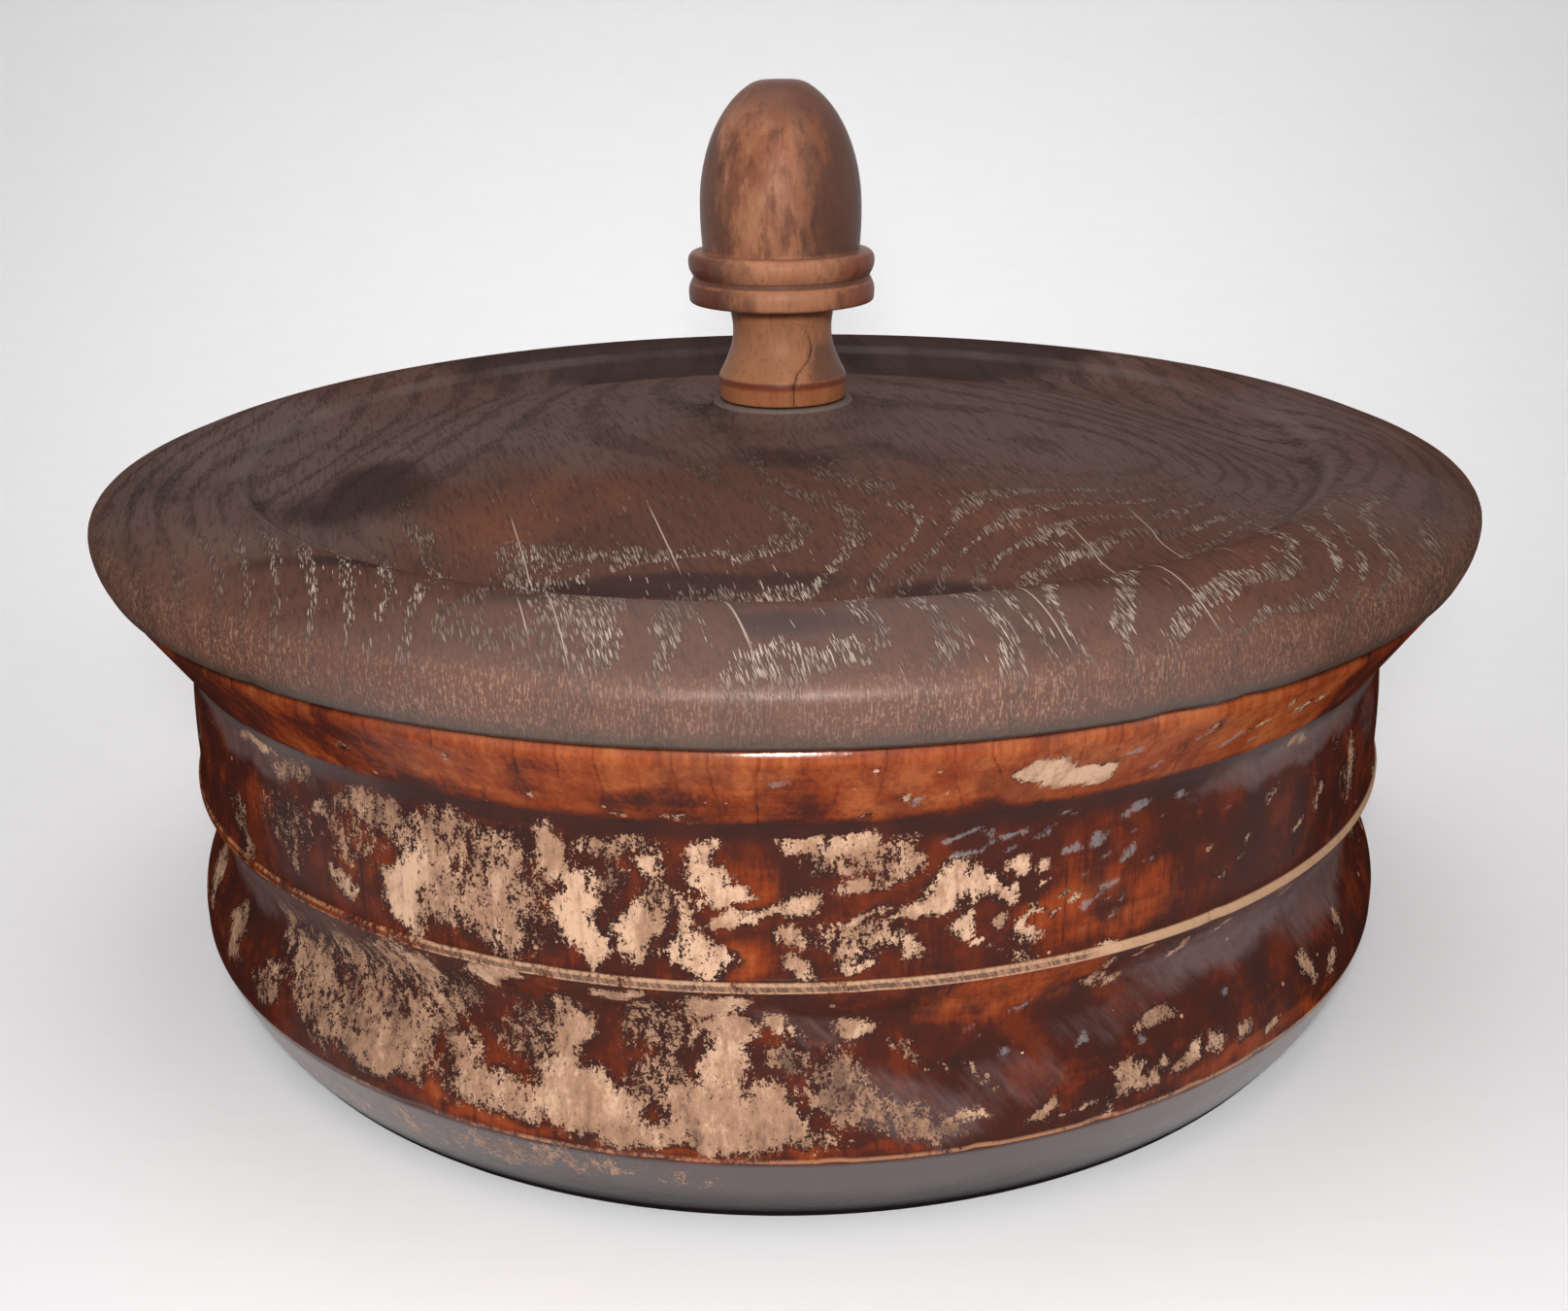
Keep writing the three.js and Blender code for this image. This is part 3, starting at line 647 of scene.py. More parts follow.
    # Inside, a plain waxed surface
    inside = times(fall(distance(x, y), 122.4, 123.4), ramp(z, 15, 16.5))
    insideWood = layer("insideWood", (times(ringLine, 0.5), "darkFinish"), (times(pore, 0.3), "darkFinish"))
    colour = layer(finish, (worn, wood), (times(ridgeWorn, 0.9), ridgeColour),
                   (times(footWorn, 0.75), "wornEdge"), (times(bruise, 0.55), "scuff"), (inside, insideWood))
    worn = largest(worn, largest(ridgeWorn, footWorn))
    dull = largest(worn, times(inside, 0.8), times(grimeAndCreaseShade, 0.35))
    rough = mixValue(dull, add(0.20, times(cloud, 0.12)), 0.62)
    # The chamfer, the foot's edge and the lip under the lid are the shiniest
    glossy = largest(times(onFootEdge, 0.8), ramp(z, *looks["onLip"]))
    rough = mixValue(onChamfer, mixValue(glossy, rough, 0.16), 0.26)
    chamferShine = ramp(z, 1.6, 13, 0.0, 0.85)
    shine = mixValue(glossy, mixValue(onChamfer, 0.06, chamferShine), 0.8)
    turnedAway = times(ramp(sidelong, *looks["sheenGoes"]), ramp(z, *looks["aboveFoot"]))
    turnedAway = largest(turnedAway, times(ramp(sidelong, *looks["bandSheenGoes"]), onBand))
    shine = times(shine, fall(turnedAway, 0, 0.7))
    relief = bump(times(worn, -1.0), 0.5, 0.15)
    relief = bump(fine, 0.22, 0.12, relief)
    relief = bump(noise(6, 3, stretch=(1, 1, 2.4)), 0.25, 0.35, relief)
    finishWood(shader, colour, rough, relief, shine)
    return material


# Lid
lid = {
    "radius": 150, "seat": 100.3, "edgeHeight": 5.6, "edgeTuck": 2.6,
    "rimHeight": 17.4, "rimRoll": 15, "rimWidth": 30.7, "crestDrop": 2.2,
    "channelWidth": 21.3, "channelDepth": 4.8, "domeEdgeRise": 1.9, "domeRise": 8.2,
    "bossRadius": 15.3, "bossFlare": 12, "bossHeight": 4.7, "spigotDepth": 8, "spigotRadius": 120.8,
    "spigotChamfer": 1.5, "tenonRadius": 6.3, "tenonLength": 8,
    "screwHole": 2.7, "screwHead": 5.1, "screwRecess": 0.6,
    "steps": 420, "fineStep": 2.4, "coarseStep": 6.0, "fineAbove": 100.4,
}
# Dents in its lower edge, as in the bowl's list
lidNicks = [
    (25, 101.4, 9, 2.4, 0, 0.5), (31, 101.2, 5, 2, 0, 0.4), (-38, 102, 6, 3, 0, 0.35), (110, 103, 8, 4, 0, 0.4),
    (201, 108, 7, 5, 20, 0.35), (290, 102, 10, 3, 0, 0.45),
]


def lidOutline(size):
    at = SimpleNamespace(**size)
    rimTop = at.seat + at.rimHeight
    crest = at.radius - at.rimWidth
    crestTop = rimTop - at.crestDrop
    channel = crestTop - at.channelDepth
    dome = crest - at.channelWidth
    domeEdge = channel + at.domeEdgeRise
    bossFoot = domeEdge + at.domeRise
    bossTop = bossFoot + at.bossHeight
    flare = at.bossRadius + at.bossFlare
    bottom = at.seat - at.spigotDepth
    headTop = bottom + at.screwRecess + at.screwHead - at.screwHole
    return [
        (at.screwHole, headTop, 0),
        (at.screwHead, bottom + at.screwRecess, 0),
        (at.screwHead, bottom, 0.2),
        (at.spigotRadius - at.spigotChamfer, bottom, 0),
        (at.spigotRadius, bottom + at.spigotChamfer, 0.3),
        (at.spigotRadius, at.seat, 0),
        (at.radius - at.edgeTuck, at.seat, 1.4),
        (at.radius, at.seat + at.edgeHeight, 2.6),
        (at.radius, at.seat + (at.edgeHeight + at.rimHeight) / 2, 2.8),
        (at.radius - at.rimRoll, rimTop, 7.2),
        (crest + at.rimRoll / 3, rimTop - at.crestDrop / 5, 2),
        (crest, crestTop, 1.5),
        (crest - at.channelWidth / 5, channel + at.channelDepth / 6, 1.6),
        ((crest + dome) / 2, channel, 3),
        (dome + at.channelWidth / 6, channel + at.domeEdgeRise / 4, 1.6),
        (dome, domeEdge, 1.6),
        ((dome + flare) / 2, domeEdge + at.domeRise * 0.72, 14),
        (flare, bossFoot, 4),
        (at.bossRadius + at.bossFlare / 6, bossFoot + at.bossHeight / 3, 2.4),
        (at.bossRadius, bossTop, 0.3),
        (at.tenonRadius, bossTop, 0.2),
        (at.tenonRadius, bossTop - at.tenonLength, 0),
        (at.screwHole, bossTop - at.tenonLength, 0),
        (at.screwHole, headTop, 0),
    ]


# Growth rings traced on the lid's top, in millimetres to the right and to the back, numbered from left to right
ringTraces = {
    -6: [(-100, -99), (-118, 10)], -5: [(-91, -111)], -4: [(-85, -119), (-89, -103)],
    -3: [(-78, -121), (-100, -20)], -2: [(-71, -128), (-74, -111)], -1: [(-66, -119), (-74, -82)],
    0: [(-61, -124), (-67, -75), (-78, -53)],
    0.5: [(-60, -62), (-36, -64), (-24, -72), (-45, -71), (-30, -42), (-60, -30)],
    1: [(-56, -127), (-51, -134), (-44, -134), (-38, -136), (-28, -139), (-26, -136), (-27, -122), (-50, -79),
        (-34, -86), (-8, -88), (1, -84), (3, -77), (-4, -62), (-13, -50), (-40, -10)],
    2: [(-22, -134), (-18, -135), (-16, -131), (-19, -121), (-17, -102), (1, -103), (10, -89), (13, -80),
        (11, -69), (2, -59), (-4, -51), (-26, 20)],
    3: [(-8, -147), (-4, -144), (3, -145), (11, -143), (15, -140), (14, -134), (11, -124), (15, -103),
        (23, -82), (26, -75), (23, -68), (15, -55), (7, -43), (-12, 60)],
    4: [(22, -146), (24, -141), (26, -138), (24, -134), (21, -126), (20, -102), (30, -78), (36, -64),
        (47, -54), (68, -48), (80, -38), (88, -29)],
    5: [(34, -141), (35, -137), (33, -132), (31, -122), (27, -99), (32, -86), (40, -72), (56, -59), (71, -52),
        (84, -40)],
    6: [(44, -142), (41, -137), (38, -131), (35, -121), (34, -96), (44, -81), (58, -67), (73, -61), (85, -49)],
    7: [(47, -140), (44, -136), (43, -131), (43, -120), (44, -93), (54, -83), (68, -69), (77, -66), (89, -52),
        (60, 90)],
    8: [(53, -136), (54, -129), (55, -122)],
    9: [(60, -135), (65, -128), (69, -121), (76, -112), (86, -106), (90, -97)],
    10: [(76, -126), (85, -120), (92, -112), (95, -105), (97, -92)],
    11: [(81, -126), (97, -112), (101, -104), (101, -94)],
    12: [(98, -114), (106, -106), (108, -99), (107, -89), (109, -73)],
    13: [(105, -106), (113, -98), (118, -93), (120, -84), (122, -72), (122, 30)],
}

lidLooks = {
    "wood": (0.105, 0.050, 0.037, 1), "redWood": (0.150, 0.062, 0.039, 1),
    "darkWood": (0.034, 0.022, 0.021, 1), "greyFilmAndSheen": (0.128, 0.094, 0.085, 1),
    "poreFill": (0.53, 0.42, 0.34, 1), "darkPoreAndGapShade": (0.020, 0.012, 0.011, 1),
    "rollWood": (0.108, 0.054, 0.038, 1), "hairFill": (0.39, 0.215, 0.14, 1),
    "lowEdgeShade": (0.056, 0.041, 0.033, 1), "crestLine": (0.17, 0.13, 0.118, 1),
    "footLine": (0.22, 0.18, 0.155, 1), "shineTint": (0.75, 0.62, 0.56, 1), "grainTurn": -14,
    # Open pores: how wide, how long, and a shift that keeps their layers apart
    "pores": ((0.36, 5.2, 0), (0.29, 4.0, 40), (0.24, 3.3, 80)), "poreDepth": 2.6,
    # Straight pale checks along the grain: across, near end, far end, half width
    "checks": [
        (-41, -89, -53, 0.12), (-67, -133, -46, 0.1), (-39.5, -139, -101, 0.16), (36, -145, -77, 0.12),
        (9, -148, -102, 0.12), (-72, -124, -104, 0.1), (52, -118, -70, 0.1),
    ],
    "checkFade": 8,
    # Distances from the axis: the roll begins, the lower edge, the line along the crest, the knob's foot
    "roll": (128, 130), "lowerEdge": (140, 142), "crest": (117.4, 118.6, 119.8, 121.4), "knobFoot": (14, 14.3),
}

# Tones over the lid's top: right, back, width, depth, amount
lidTones = {
    "warm": [
        (-50, -62, 60, 46, 0.9), (-20, -125, 60, 22, 0.5), (-100, -95, 50, 60, 0.6), (25, -75, 70, 40, 0.4),
        (95, -80, 60, 50, 0.5), (60, -130, 60, 20, 0.5),
    ],
    "darkAndShade": [
        (-91, -34, 34, 44, 0.9), (-40, -98, 120, 9, 0.8), (26, -101, 20, 9, 0.8), (0, -37, 26, 18, 0.75),
        (-42, -122, 16, 10, 0.6), (4, -134, 24, 9, 0.5), (33, -138, 34, 12, 0.45), (14, -30, 40, 30, 0.4),
        # The last two are painted shade: the back of the lid and its far left darkened
        (0, 118, 280, 80, 0.9), (-128, -30, 40, 80, 0.3),
    ],
    # Haze: dusty film, and painted reflection of the pale backdrop over the back and the sides
    "haze": [
        (-60, 20, 150, 120, 0.9), (60, 10, 150, 130, 0.9), (0, 90, 240, 110, 0.7), (-30, -30, 60, 34, 0.6),
        (100, 0, 90, 150, 0.8), (-122, -10, 60, 150, 0.9), (-98, -60, 60, 90, 0.7), (112, -50, 60, 90, 0.7),
    ],
}

# The traces are bent smoothly in units of this many millimetres, and need not be met exactly
ringSheet = {"unit": 100, "slack": 0.004}


# A smooth sheet through numbered points, as a thin plate bends
def bendThrough(traces, x, y):
    unit = ringSheet["unit"]
    known = np.array([(*spot, number) for number, trace in traces.items() for spot in trace], dtype=float)
    centres = known[:, :2] / unit

    def pull(fromX, fromY):
        square = (fromX[:, None] - centres[:, 0]) ** 2 + (fromY[:, None] - centres[:, 1]) ** 2
        return square * np.log(square + 1e-9)

    count = len(centres)
    system = np.zeros((count + 3, count + 3))
    system[:count, :count] = pull(centres[:, 0], centres[:, 1]) + np.eye(count) * ringSheet["slack"]
    system[:count, count:] = np.column_stack([np.ones(count), centres])
    system[count:, :count] = system[:count, count:].T
    weights = np.linalg.solve(system, np.append(known[:, 2], np.zeros(3)))
    plane = np.column_stack([np.ones(len(x)), x / unit, y / unit])
    return pull(x / unit, y / unit) @ weights[:count] + plane @ weights[count:]


def toneAt(x, y, spots):
    tone = np.zeros(len(x))
    for right, back, width, depth, amount in spots:
        reach = np.hypot((x - right) / (width / 2), (y - back) / (depth / 2))
        tone = np.maximum(tone, fade(reach, toneRim) * amount)
    return tone


def paintTheLid(piece):
    x, y, z = positions(piece).T
    paint(piece, "ring", bendThrough(ringTraces, x, y))
    for name, spots in lidTones.items():
        paint(piece, name, toneAt(x, y, spots))


def lidMaterial(looks):
    material, shader = freshMaterial("open_pored_lid_wood", looks)
    turn = (0, 0, math.radians(looks["grainTurn"]))
    across, along, up = split(placeIn(turn=turn))
    right, back, _ = split(placeIn())
    fromAxis = distance(right, back)
    wiggle = noise(7, 4, 0.6, turn=turn, stretch=(1, 0.5, 1))
    ring = add(painted("ring"), swing(wiggle, 0.55))
    offBand = times(calc("PINGPONG", ring, 0.5), 2.0)
    width = noise(14, 3, shift=(20, 0, 5))
    early = fall(calc("SUBTRACT", offBand, ramp(width, 0.35, 0.65, 0, 0.30)), 0.02, 0.26)
    # Open pores: thin cells along the grain, most of them in the early wood of each ring
    dashes = darks = 0.0
    for wide, long, shift in looks["pores"]:
        stretch = (1 / wide, 1 / long, 1 / looks["poreDepth"])
        fromPore, luck = cells(1, turn=turn, stretch=stretch, shift=(shift, 0, 0))
        opened = calc("LESS_THAN", luck[0], add(times(early, 0.70), 0.020))
        core = times(fall(fromPore, 0.28, 0.40), opened)
        darks = largest(darks, core)
        dashes = largest(dashes, times(core, ramp(luck[1], 0.0, 0.8, 0.25, 1)))
    # Wax and dust have filled the pores most at the front
    filled = ramp(noise(30, 3, shift=(60, 20, 0)), 0.34, 0.58, 0.35, 1)
    beyond = largest(calc("SUBTRACT", -50, right), 0.0)
    frontness = ramp(add(back, times(beyond, 0.4)), -95, -20, 1, 0.06)
    inward = times(ramp(right, -125, -70, 0.2, 1), ramp(right, 85, 125, 1, 0.5))
    dashes = times(dashes, times(frontness, inward, filled))
    # Round the rolled edge the pores are cut across, fine and thick everywhere
    onRoll = times(fall(add(up, swing(width, 3)), 111, 114.5), ramp(fromAxis, *looks["roll"]))
    dashes = times(dashes, mixValue(onRoll, 1.0, 0.16))
    hair = noise(0.30, 3, 0.65, stretch=(1, 0.14, 0.14))
    dots = noise(0.4, 3, 0.7, stretch=(1, 0.5, 0.5), shift=(8, 0, 0))
    hairs = times(onRoll, ramp(add(times(hair, 0.6), times(dots, 0.5)), 0.55, 0.66))
    hairs = times(hairs, ramp(noise(16, 4, 0.6, shift=(0, 33, 0)), 0.36, 0.62, 0.55, 1.1))
    # Base colour, with a grey haze that is dusty film and painted reflection of the pale backdrop
    cloud = noise(24, 6, 0.62, turn=turn, stretch=(1, 0.5, 1))
    warm = add(times(painted("warm"), 0.5), swing(cloud, 2.2))
    # Dark tones, those at the back and far left painted shade
    darkAndShade = add(painted("darkAndShade"), swing(cloud, -1.8))
    haze = add(painted("haze"), swing(cloud, 0.8))
    fine = noise(0.8, 4, 0.65, turn=turn, stretch=(1, 0.07, 1))
    wood = mixColour(ramp(warm, 0.05, 0.75), "wood", "redWood")
    wood = layer(wood, (times(ramp(haze, 0.1, 1.0), 0.7), "greyFilmAndSheen"),
                 (times(ramp(darkAndShade, 0.12, 0.8), 0.75), "darkWood"),
                 (times(ramp(fine, 0.46, 0.68), 0.45), "darkWood"), (times(early, 0.20), "darkWood"))
    # Painted shade along the lower edge with a painted shadow line in the gap under it, and pale lines along
    # the crest and round the knob's foot
    outer = ramp(fromAxis, *looks["lowerEdge"])
    gapShadow = times(fall(up, 101.0, 101.7), outer)
    crestLine = times(ramp(cloud, 0.3, 0.6, 0.08, 0.34), ramp(up, 111, 112))
    crestLine = times(zone(fromAxis, *looks["crest"]), crestLine)
    footLine = times(ramp(up, 124.6, 125.0), ramp(fromAxis, *looks["knobFoot"]))
    # Straight checks, filled pale
    checked = 0.0
    for offset, near, far, half in looks["checks"]:
        off = calc("ABSOLUTE", calc("SUBTRACT", across, offset))
        line = fall(off, half * 0.5, half * 1.6)
        length = zone(along, near, near + looks["checkFade"], far - looks["checkFade"], far)
        checked = largest(checked, times(line, length))
    colour = layer(wood, (times(darks, 0.5), "darkPoreAndGapShade"), (times(dashes, 0.9), "poreFill"),
                   (times(onRoll, 0.35), "rollWood"), (times(hairs, 0.48), "hairFill"),
                   # Painted shade: the lower edge greyed towards the bottom, and blackened in the gap under the
                   # lid
                   (times(ramp(up, 101.4, 105.4, 0.75, 0), outer), "lowEdgeShade"),
                   (times(gapShadow, 0.95), "darkPoreAndGapShade"), (crestLine, "crestLine"),
                   (times(footLine, 0.5), "footLine"), (times(checked, 0.75), "poreFill"))
    relief = bump(fine, 0.25, 0.12, bump(times(darks, -1.0), 0.6, 0.18))
    finishWood(shader, colour, ramp(haze, 0.0, 1.0, 0.46, 0.58), relief, ramp(back, -146, -118, 0.60, 0.0))
    return material


# Acorn knob
knob = {
    "seat": 125.8, "footRadius": 14.4, "footHeight": 4.9, "footTaper": 0.4,
    "neckRadius": 10.55, "neckHeight": 14.0, "neckFlare": 2.0, "neckTopFlare": 1.3,
    "cupHeight": 21.4, "cupRadius": 20.4, "cupLip": 2.6, "cupDish": 0.6,
    "lowerBead": 5.4, "upperBead": 5.6, "beadSwell": 0.2, "groove": 0.9, "grooveWidth": 0.3,
    "nutBase": 17.2, "nutRadius": 17.65, "nutWidest": 9.2, "nutDome": 27.3, "nutTip": 4.5, "arcSteps": 26,
    "tenonRadius": 6, "tenonBottom": 117.8, "pilotRadius": 2.7, "pilotTop": 126.8, "pilotPoint": 132.4,
    "steps": 256, "fineStep": 0.9, "splitDepth": 0.5,
}


def knobOutline(size):
    at = SimpleNamespace(**size)
    up = lambda height: at.seat + height
    groove = at.cupHeight + at.lowerBead
    nutBase = up(groove + at.upperBead)
    widest = nutBase + at.nutWidest
    corners = [
        (0, at.pilotPoint, 0),
        (at.pilotRadius, at.pilotTop, 0),
        (at.pilotRadius, at.tenonBottom, 0),
        (at.tenonRadius, at.tenonBottom, 0.3),
        (at.tenonRadius, at.seat, 0),
        (at.footRadius - at.footTaper, at.seat, 0.3),
        (at.footRadius, up(at.footHeight), 0.9),
        (at.neckRadius + at.neckFlare, up((at.footHeight * 2 + at.neckHeight) / 3 + 0.4), 2.2),
        (at.neckRadius, up(at.neckHeight), 3.2),
        (at.neckRadius + at.neckTopFlare / 2, up(at.neckHeight + 3.8), 2),
        (at.neckRadius + at.neckTopFlare, up(at.cupHeight + at.cupDish), 0.6),
        (at.cupRadius - at.cupLip, up(at.cupHeight), 0.3),
        (at.cupRadius, up(at.cupHeight), 0.7),
        (at.cupRadius + at.beadSwell, up(at.cupHeight + at.lowerBead * 0.6), 1.0),
        (at.cupRadius - at.groove, up(groove), 0.15),
        (at.cupRadius - at.groove, up(groove + at.grooveWidth), 0.15),
        (at.cupRadius + at.beadSwell, up(groove + at.upperBead * 0.4), 1.0),
        (at.cupRadius, nutBase, 1.7),
        (at.nutBase, nutBase, 0.2),
        (at.nutRadius, nutBase + at.nutWidest / 2, 3),
    ]
    tipAngle = math.acos(at.nutTip / at.nutRadius)
    for step in range(at.arcSteps - 1):
        turn = tipAngle * step / at.arcSteps
        corners.append((at.nutRadius * math.cos(turn), widest + at.nutDome * math.sin(turn), 0))
    top = widest + at.nutDome * math.sin(tipAngle)
    return [*corners, (at.nutTip, top, 1.5), (0, top, 0)]


knobLooks = {
    "wood": (0.245, 0.088, 0.046, 1), "lightWood": (0.37, 0.165, 0.092, 1),
    "darkWood": (0.075, 0.028, 0.020, 1), "darkening": (0.070, 0.033, 0.025, 1),
    "neckWood": (0.36, 0.15, 0.070, 1), "footWood": (0.34, 0.115, 0.042, 1),
    "cupWood": (0.47, 0.205, 0.105, 1), "redWood": (0.13, 0.024, 0.012, 1), "tipWood": (0.13, 0.052, 0.034, 1),
    "splitDark": (0.022, 0.012, 0.010, 1), "shine": 0.22, "shineTint": (0.8, 0.65, 0.58, 1),
    # Heights where a part begins and is full, and where it is still full and has gone
    "nut": (157.5, 159), "tip": (182, 190), "nutLow": (158, 161, 168, 178), "cup": (146.6, 147.4, 157.5, 158.2),
    "groove": (151.6, 152, 152.9, 153.4), "beadTopHighlight": (151.2, 151.5, 151.8, 152.1),
    "neck": (130.4, 131.4, 146.4, 147.2), "foot": (130.2, 131), "redFoot": (128.9, 129.9, 130.6, 131.2),
    # The split's course up the foot and the neck: millimetres to the right of the front, height, half width
    "split": [
        (2.4, 125.8, 0.1), (2.5, 130.6, 0.13), (3.2, 133, 0.12), (6, 135.8, 0.15), (6.6, 138.2, 0.11),
        (5.8, 141, 0.08), (4.2, 142.6, 0.06), (1, 144.4, 0.04), (0.6, 147, 0.03),
    ],
}


# How near each vertex is to the split: one along it, gone at its sides
def paintTheSplit(piece):
    x, y, z = positions(piece).T
    course = np.array(knobLooks["split"])
    middle = np.interp(z, course[:, 1], course[:, 0])
    half = np.interp(z, course[:, 1], course[:, 2], left=0.1, right=0.0)
    front = (y < 0) & (z > course[0, 1]) & (z < course[-1, 1])
    nearness = np.where(front, np.clip(1.2 - np.abs(x - middle) / (half * 4 + 0.01), 0, 1), 0)
    paint(piece, "split", nearness)
    press(piece, "split_open", nearness, knob["splitDepth"])


def knobMaterial(looks):
    material, shader = freshMaterial("handled_knob_wood", looks)
    x, y, z = split(placeIn())
    mottle = noise(7, 5, 0.62, stretch=(1, 1, 0.5))
    smudge = noise(2.6, 4, 0.6, stretch=(1, 1, 0.38), shift=(5, 0, 0))
    fleck = noise(0.7, 4, 0.65, stretch=(1, 1, 0.22), shift=(9, 4, 0))
    onNut = ramp(z, *looks["nut"])
    onCup = zone(z, *looks["cup"])
    onNeck = zone(z, *looks["neck"])
    cupMiddle = ramp(calc("ABSOLUTE", add(x, swing(smudge, 12))), 5, 13, 0.6, 0)
    lowLeft = times(fall(x, -15, 0), zone(z, *looks["nutLow"]))
    wood = mixColour(ramp(mottle, 0.40, 0.66), "wood", "lightWood")
    wood = layer(wood, (times(ramp(smudge, 0.50, 0.66), 0.55), "darkWood"), (times(onNeck, 0.75), "neckWood"),
                 (times(fall(z, *looks["foot"]), 0.75), "footWood"), (times(onCup, cupMiddle), "cupWood"),
                 (times(lowLeft, 0.22), "cupWood"), (times(ramp(fleck, 0.50, 0.70), 0.35), "darkWood"))
    # The nut is darker at both sides and at the tip, and so are the cup's left, the groove and the foot's top
    # edge
    side = add(x, swing(mottle, 26))
    sides = largest(times(ramp(side, 3, 9), 0.85), ramp(side, -7, -15, 0.0, 0.7))
    tip = times(ramp(add(z, times(side, 0.5)), 184, 193), 0.75)
    darkening = largest(times(largest(sides, tip), onNut), times(onCup, ramp(side, -4, -14, 0.05, 0.7)))
    darkening = largest(darkening, times(zone(z, *looks["groove"]), 0.8))
    darkening = largest(darkening, times(ramp(z, 129.6, 130.4), ramp(z, 130.4, 131.2, 0.5, 0)))
    stain = times(ramp(add(x, swing(smudge, 5)), 4.5, 7.5), fall(z, 137, 141), onNeck)
    redEnd = times(onCup, ramp(calc("ABSOLUTE", add(side, 1)), 12, 19, 0, 0.65))
    redEnd = largest(redEnd, times(zone(z, *looks["redFoot"]), 0.8))
    # Painted highlight along the top of the lower bead, under the groove
    beadTopHighlight = times(zone(z, *looks["beadTopHighlight"]), ramp(smudge, 0.35, 0.6, 0.1, 0.6))
    opened = times(ramp(painted("split"), 0.55, 1.0), 0.9)
    colour = layer(wood, (largest(darkening, times(stain, 0.7)), "darkening"), (redEnd, "redWood"),
                   (times(ramp(z, *looks["tip"]), 0.5), "tipWood"), (beadTopHighlight, "neckWood"),
                   (opened, "splitDark"))
    finishWood(shader, colour, mixValue(mottle, 0.36, 0.52), bump(fleck, 0.25, 0.15), looks["shine"])
    return material


# Screw, which keeps its CAD solid
screwLooks = {"steel": (0.30, 0.28, 0.26, 1), "tarnish": (0.14, 0.09, 0.06, 1), "metallic": 0.9}


def steelMaterial(looks):
    material, shader = freshMaterial("dull_screw_steel", looks)
    tarnish = noise(1.6, 4, 0.6)
    colour = mixColour(ramp(tarnish, 0.4, 0.65), "steel", "tarnish")
    rough = mixValue(tarnish, 0.35, 0.6)
    fit(shader, {"Base Color": colour, "Roughness": rough, "Metallic": looks["metallic"]})
    return material


# Floor, backdrop and light: sizes in metres, except where the glow begins and is full
stage = {
    "floor": (0.89, 0.88, 0.885, 1), "floorGrain": (0.88, 0.87, 0.875, 1), "roughness": 0.75, "shine": 0.25,
    "reach": 3.0, "wallAt": 0.45, "wallHeight": 2.4, "sweep": 0.25, "sweepSegments": 24,
    "glow": (0.80, 0.79, 0.80, 1), "glowFrom": 600, "glowFull": 1000,
}


# Rays that show the background: straight to the camera, and mirrored in gloss
def seenRays():
    rays = addNode("ShaderNodeLightPath", {}).outputs
    return rays["Is Camera Ray"], largest(rays["Is Camera Ray"], rays["Is Glossy Ray"])


def paperMaterial(looks):
    material, shader = freshMaterial("pale_paper", looks)
    grain = noise(4, 4, stretch=(0.2, 1, 1))
    colour = mixColour(ramp(grain, 0.3, 0.7), "floor", "floorGrain")
    fit(shader, {"Base Color": colour, "Roughness": looks["roughness"], "Specular IOR Level": looks["shine"]})
    # Far from the pot the paper is as pale as near it, and from behind it is clear
    straight, seen = seenRays()
    x, y, z = split(placeIn())
    far = times(seen, ramp(distance(x, y), looks["glowFrom"], looks["glowFull"]))
    glow = addNode("ShaderNodeEmission", {"Color": looks["glow"]}).outputs[0]
    sheet = addNode("ShaderNodeMixShader", {0: far, 1: shader.outputs[0], 2: glow}).outputs[0]
    behind = addNode("ShaderNodeNewGeometry", {}).outputs["Backfacing"]
    clear = addNode("ShaderNodeBsdfTransparent", {}).outputs[0]
    sheet = addNode("ShaderNodeMixShader", {0: times(behind, straight), 1: sheet, 2: clear}).outputs[0]
    fit(material.node_tree.nodes["Material Output"], {"Surface": sheet})
    return material


def buildStage(size):
    bpy.ops.object.select_all(action="DESELECT")
    bpy.ops.mesh.primitive_plane_add(size=2 * size["reach"], location=(0, size["wallAt"] - size["reach"], 0))
    backdrop = bpy.context.object
    backdrop.name = "backdrop"
    bpy.ops.object.transform_apply(location=True)
    # The far edge is drawn up into a wall, and the corner it leaves is rounded into a sweep
    atWall = lambda edge: all(end.y > size["wallAt"] - mm for end in ends(backdrop, edge))
    pick(backdrop, "EDGE", atWall)
    bpy.ops.mesh.extrude_region_move(TRANSFORM_OT_translate={"value": (0, 0, size["wallHeight"])})
    pick(backdrop, "EDGE", lambda edge: atWall(edge) and all(end.z < mm for end in ends(backdrop, edge)))
    bpy.ops.mesh.bevel(offset=size["sweep"], segments=size["sweepSegments"], affect="EDGES")
    bpy.ops.object.mode_set(mode="OBJECT")
    bpy.ops.object.shade_smooth()
    backdrop.data.materials.append(paperMaterial(size))
    print("stage set")


lamps = {
    "flash": {"place": (-0.005, -0.46, 0.275), "size": 0.05, "power": 1.75},
    "overhead": {"place": (-0.16, -0.20, 1.25), "size": 1.1, "power": 4.0},
    "right": {"place": (1.1, -0.5, 0.7), "size": 0.8, "power": 0.8},
    "wash": {"place": (0.05, 0.15, 1.2), "size": 0.5, "power": 0.7, "aim": (0, 0.45, 0.35), "spread": 60},
}
sky = {"colour": (1, 1, 1, 1), "strength": 0.25, "seen": 0.8}


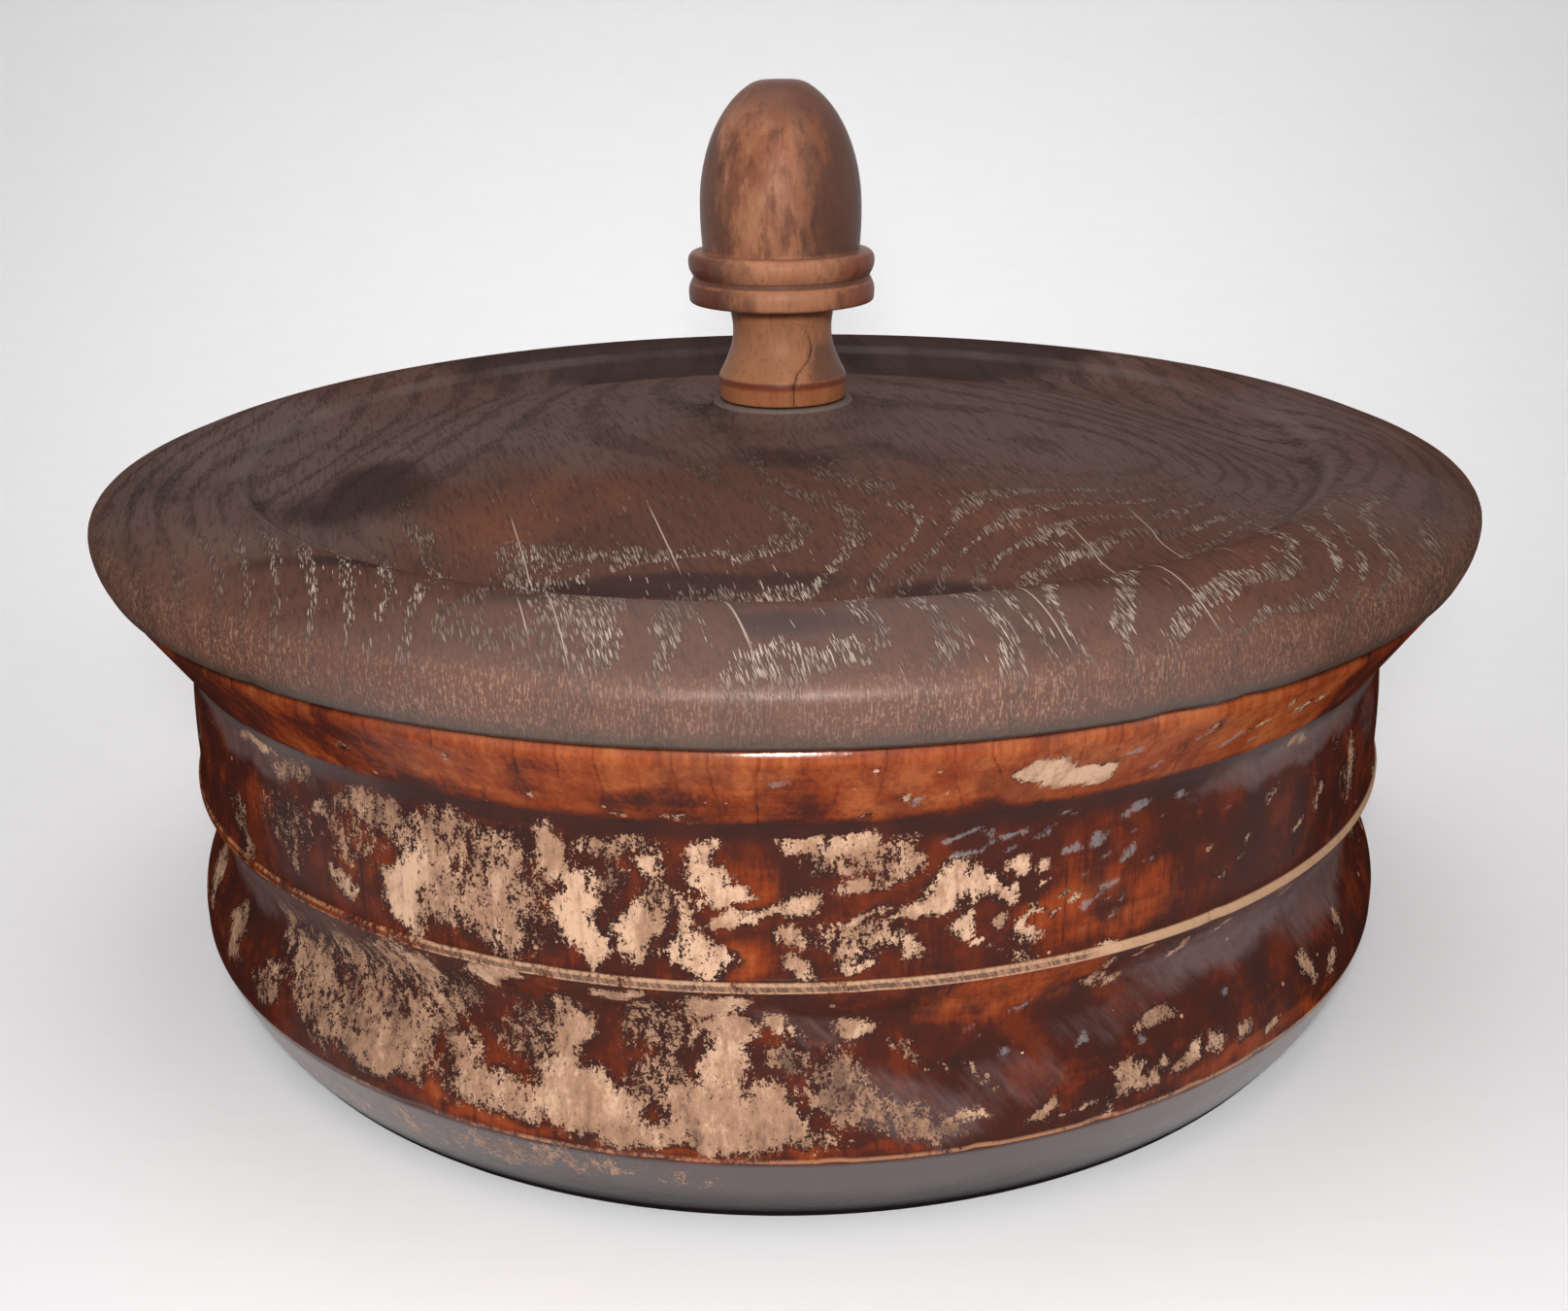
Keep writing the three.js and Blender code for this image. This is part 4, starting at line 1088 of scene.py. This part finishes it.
def addLight(name, place, size, power, aim=(0, 0, 0.1), spread=180):
    lamp = bpy.data.objects.new(name, bpy.data.lights.new(name, "AREA"))
    lamp.data.size = size
    lamp.data.energy = power
    lamp.data.spread = math.radians(spread)
    lamp.location = place
    lamp.rotation_euler = (Vector(aim) - Vector(place)).to_track_quat("-Z", "Y").to_euler()
    bpy.context.scene.collection.objects.link(lamp)


def lightScene():
    for name, settings in lamps.items():
        addLight(name, **settings)
    world = bpy.data.worlds.new("plain_light")
    world.use_nodes = True
    bench["tree"] = world.node_tree
    strength = mixValue(seenRays()[1], sky["strength"], sky["seen"])
    fit(world.node_tree.nodes["Background"], {"Color": sky["colour"], "Strength": strength})
    bpy.context.scene.world = world
    bpy.context.scene.view_settings.view_transform = "Standard"
    print("lights placed")


def dress(piece, material, body, node):
    piece.data.materials.clear()
    piece.data.materials.append(material)
    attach(piece, body)
    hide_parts(node)


placeCamera(cameraView)
buildStage(stage)
lightScene()

share = 1.0
bowlSpacing = lambda spot: bowl["fineStep"] / share if spot.x > bowl["fineBeyond"] * mm else bowl["coarseStep"]
turnedBowl = turnOnLathe("turned_bowl", bowlOutline(bowl), int(bowl["steps"] * share), bowlSpacing)
wearTheBowl(turnedBowl)
pressNicks(turnedBowl, "nick", bowlNicks)
dress(turnedBowl, bowlMaterial(bowlLooks), "bowl", "bowl")
print("bowl done")

lidSpacing = lambda spot: lid["fineStep"] / share if spot.z > lid["fineAbove"] * mm else lid["coarseStep"]
turnedLid = turnOnLathe("turned_lid", lidOutline(lid), int(lid["steps"] * share), lidSpacing)
paintTheLid(turnedLid)
pressNicks(turnedLid, "dent", lidNicks)
dress(turnedLid, lidMaterial(lidLooks), "lid", "lid")
print("lid done")

turnedKnob = turnOnLathe("turned_knob", knobOutline(knob), knob["steps"], lambda spot: knob["fineStep"])
paintTheSplit(turnedKnob)
dress(turnedKnob, knobMaterial(knobLooks), "lid", "acorn_knob")
print("knob done")

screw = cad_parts["knob_screw"]
screw.data.materials.clear()
screw.data.materials.append(steelMaterial(screwLooks))
print("screw done")
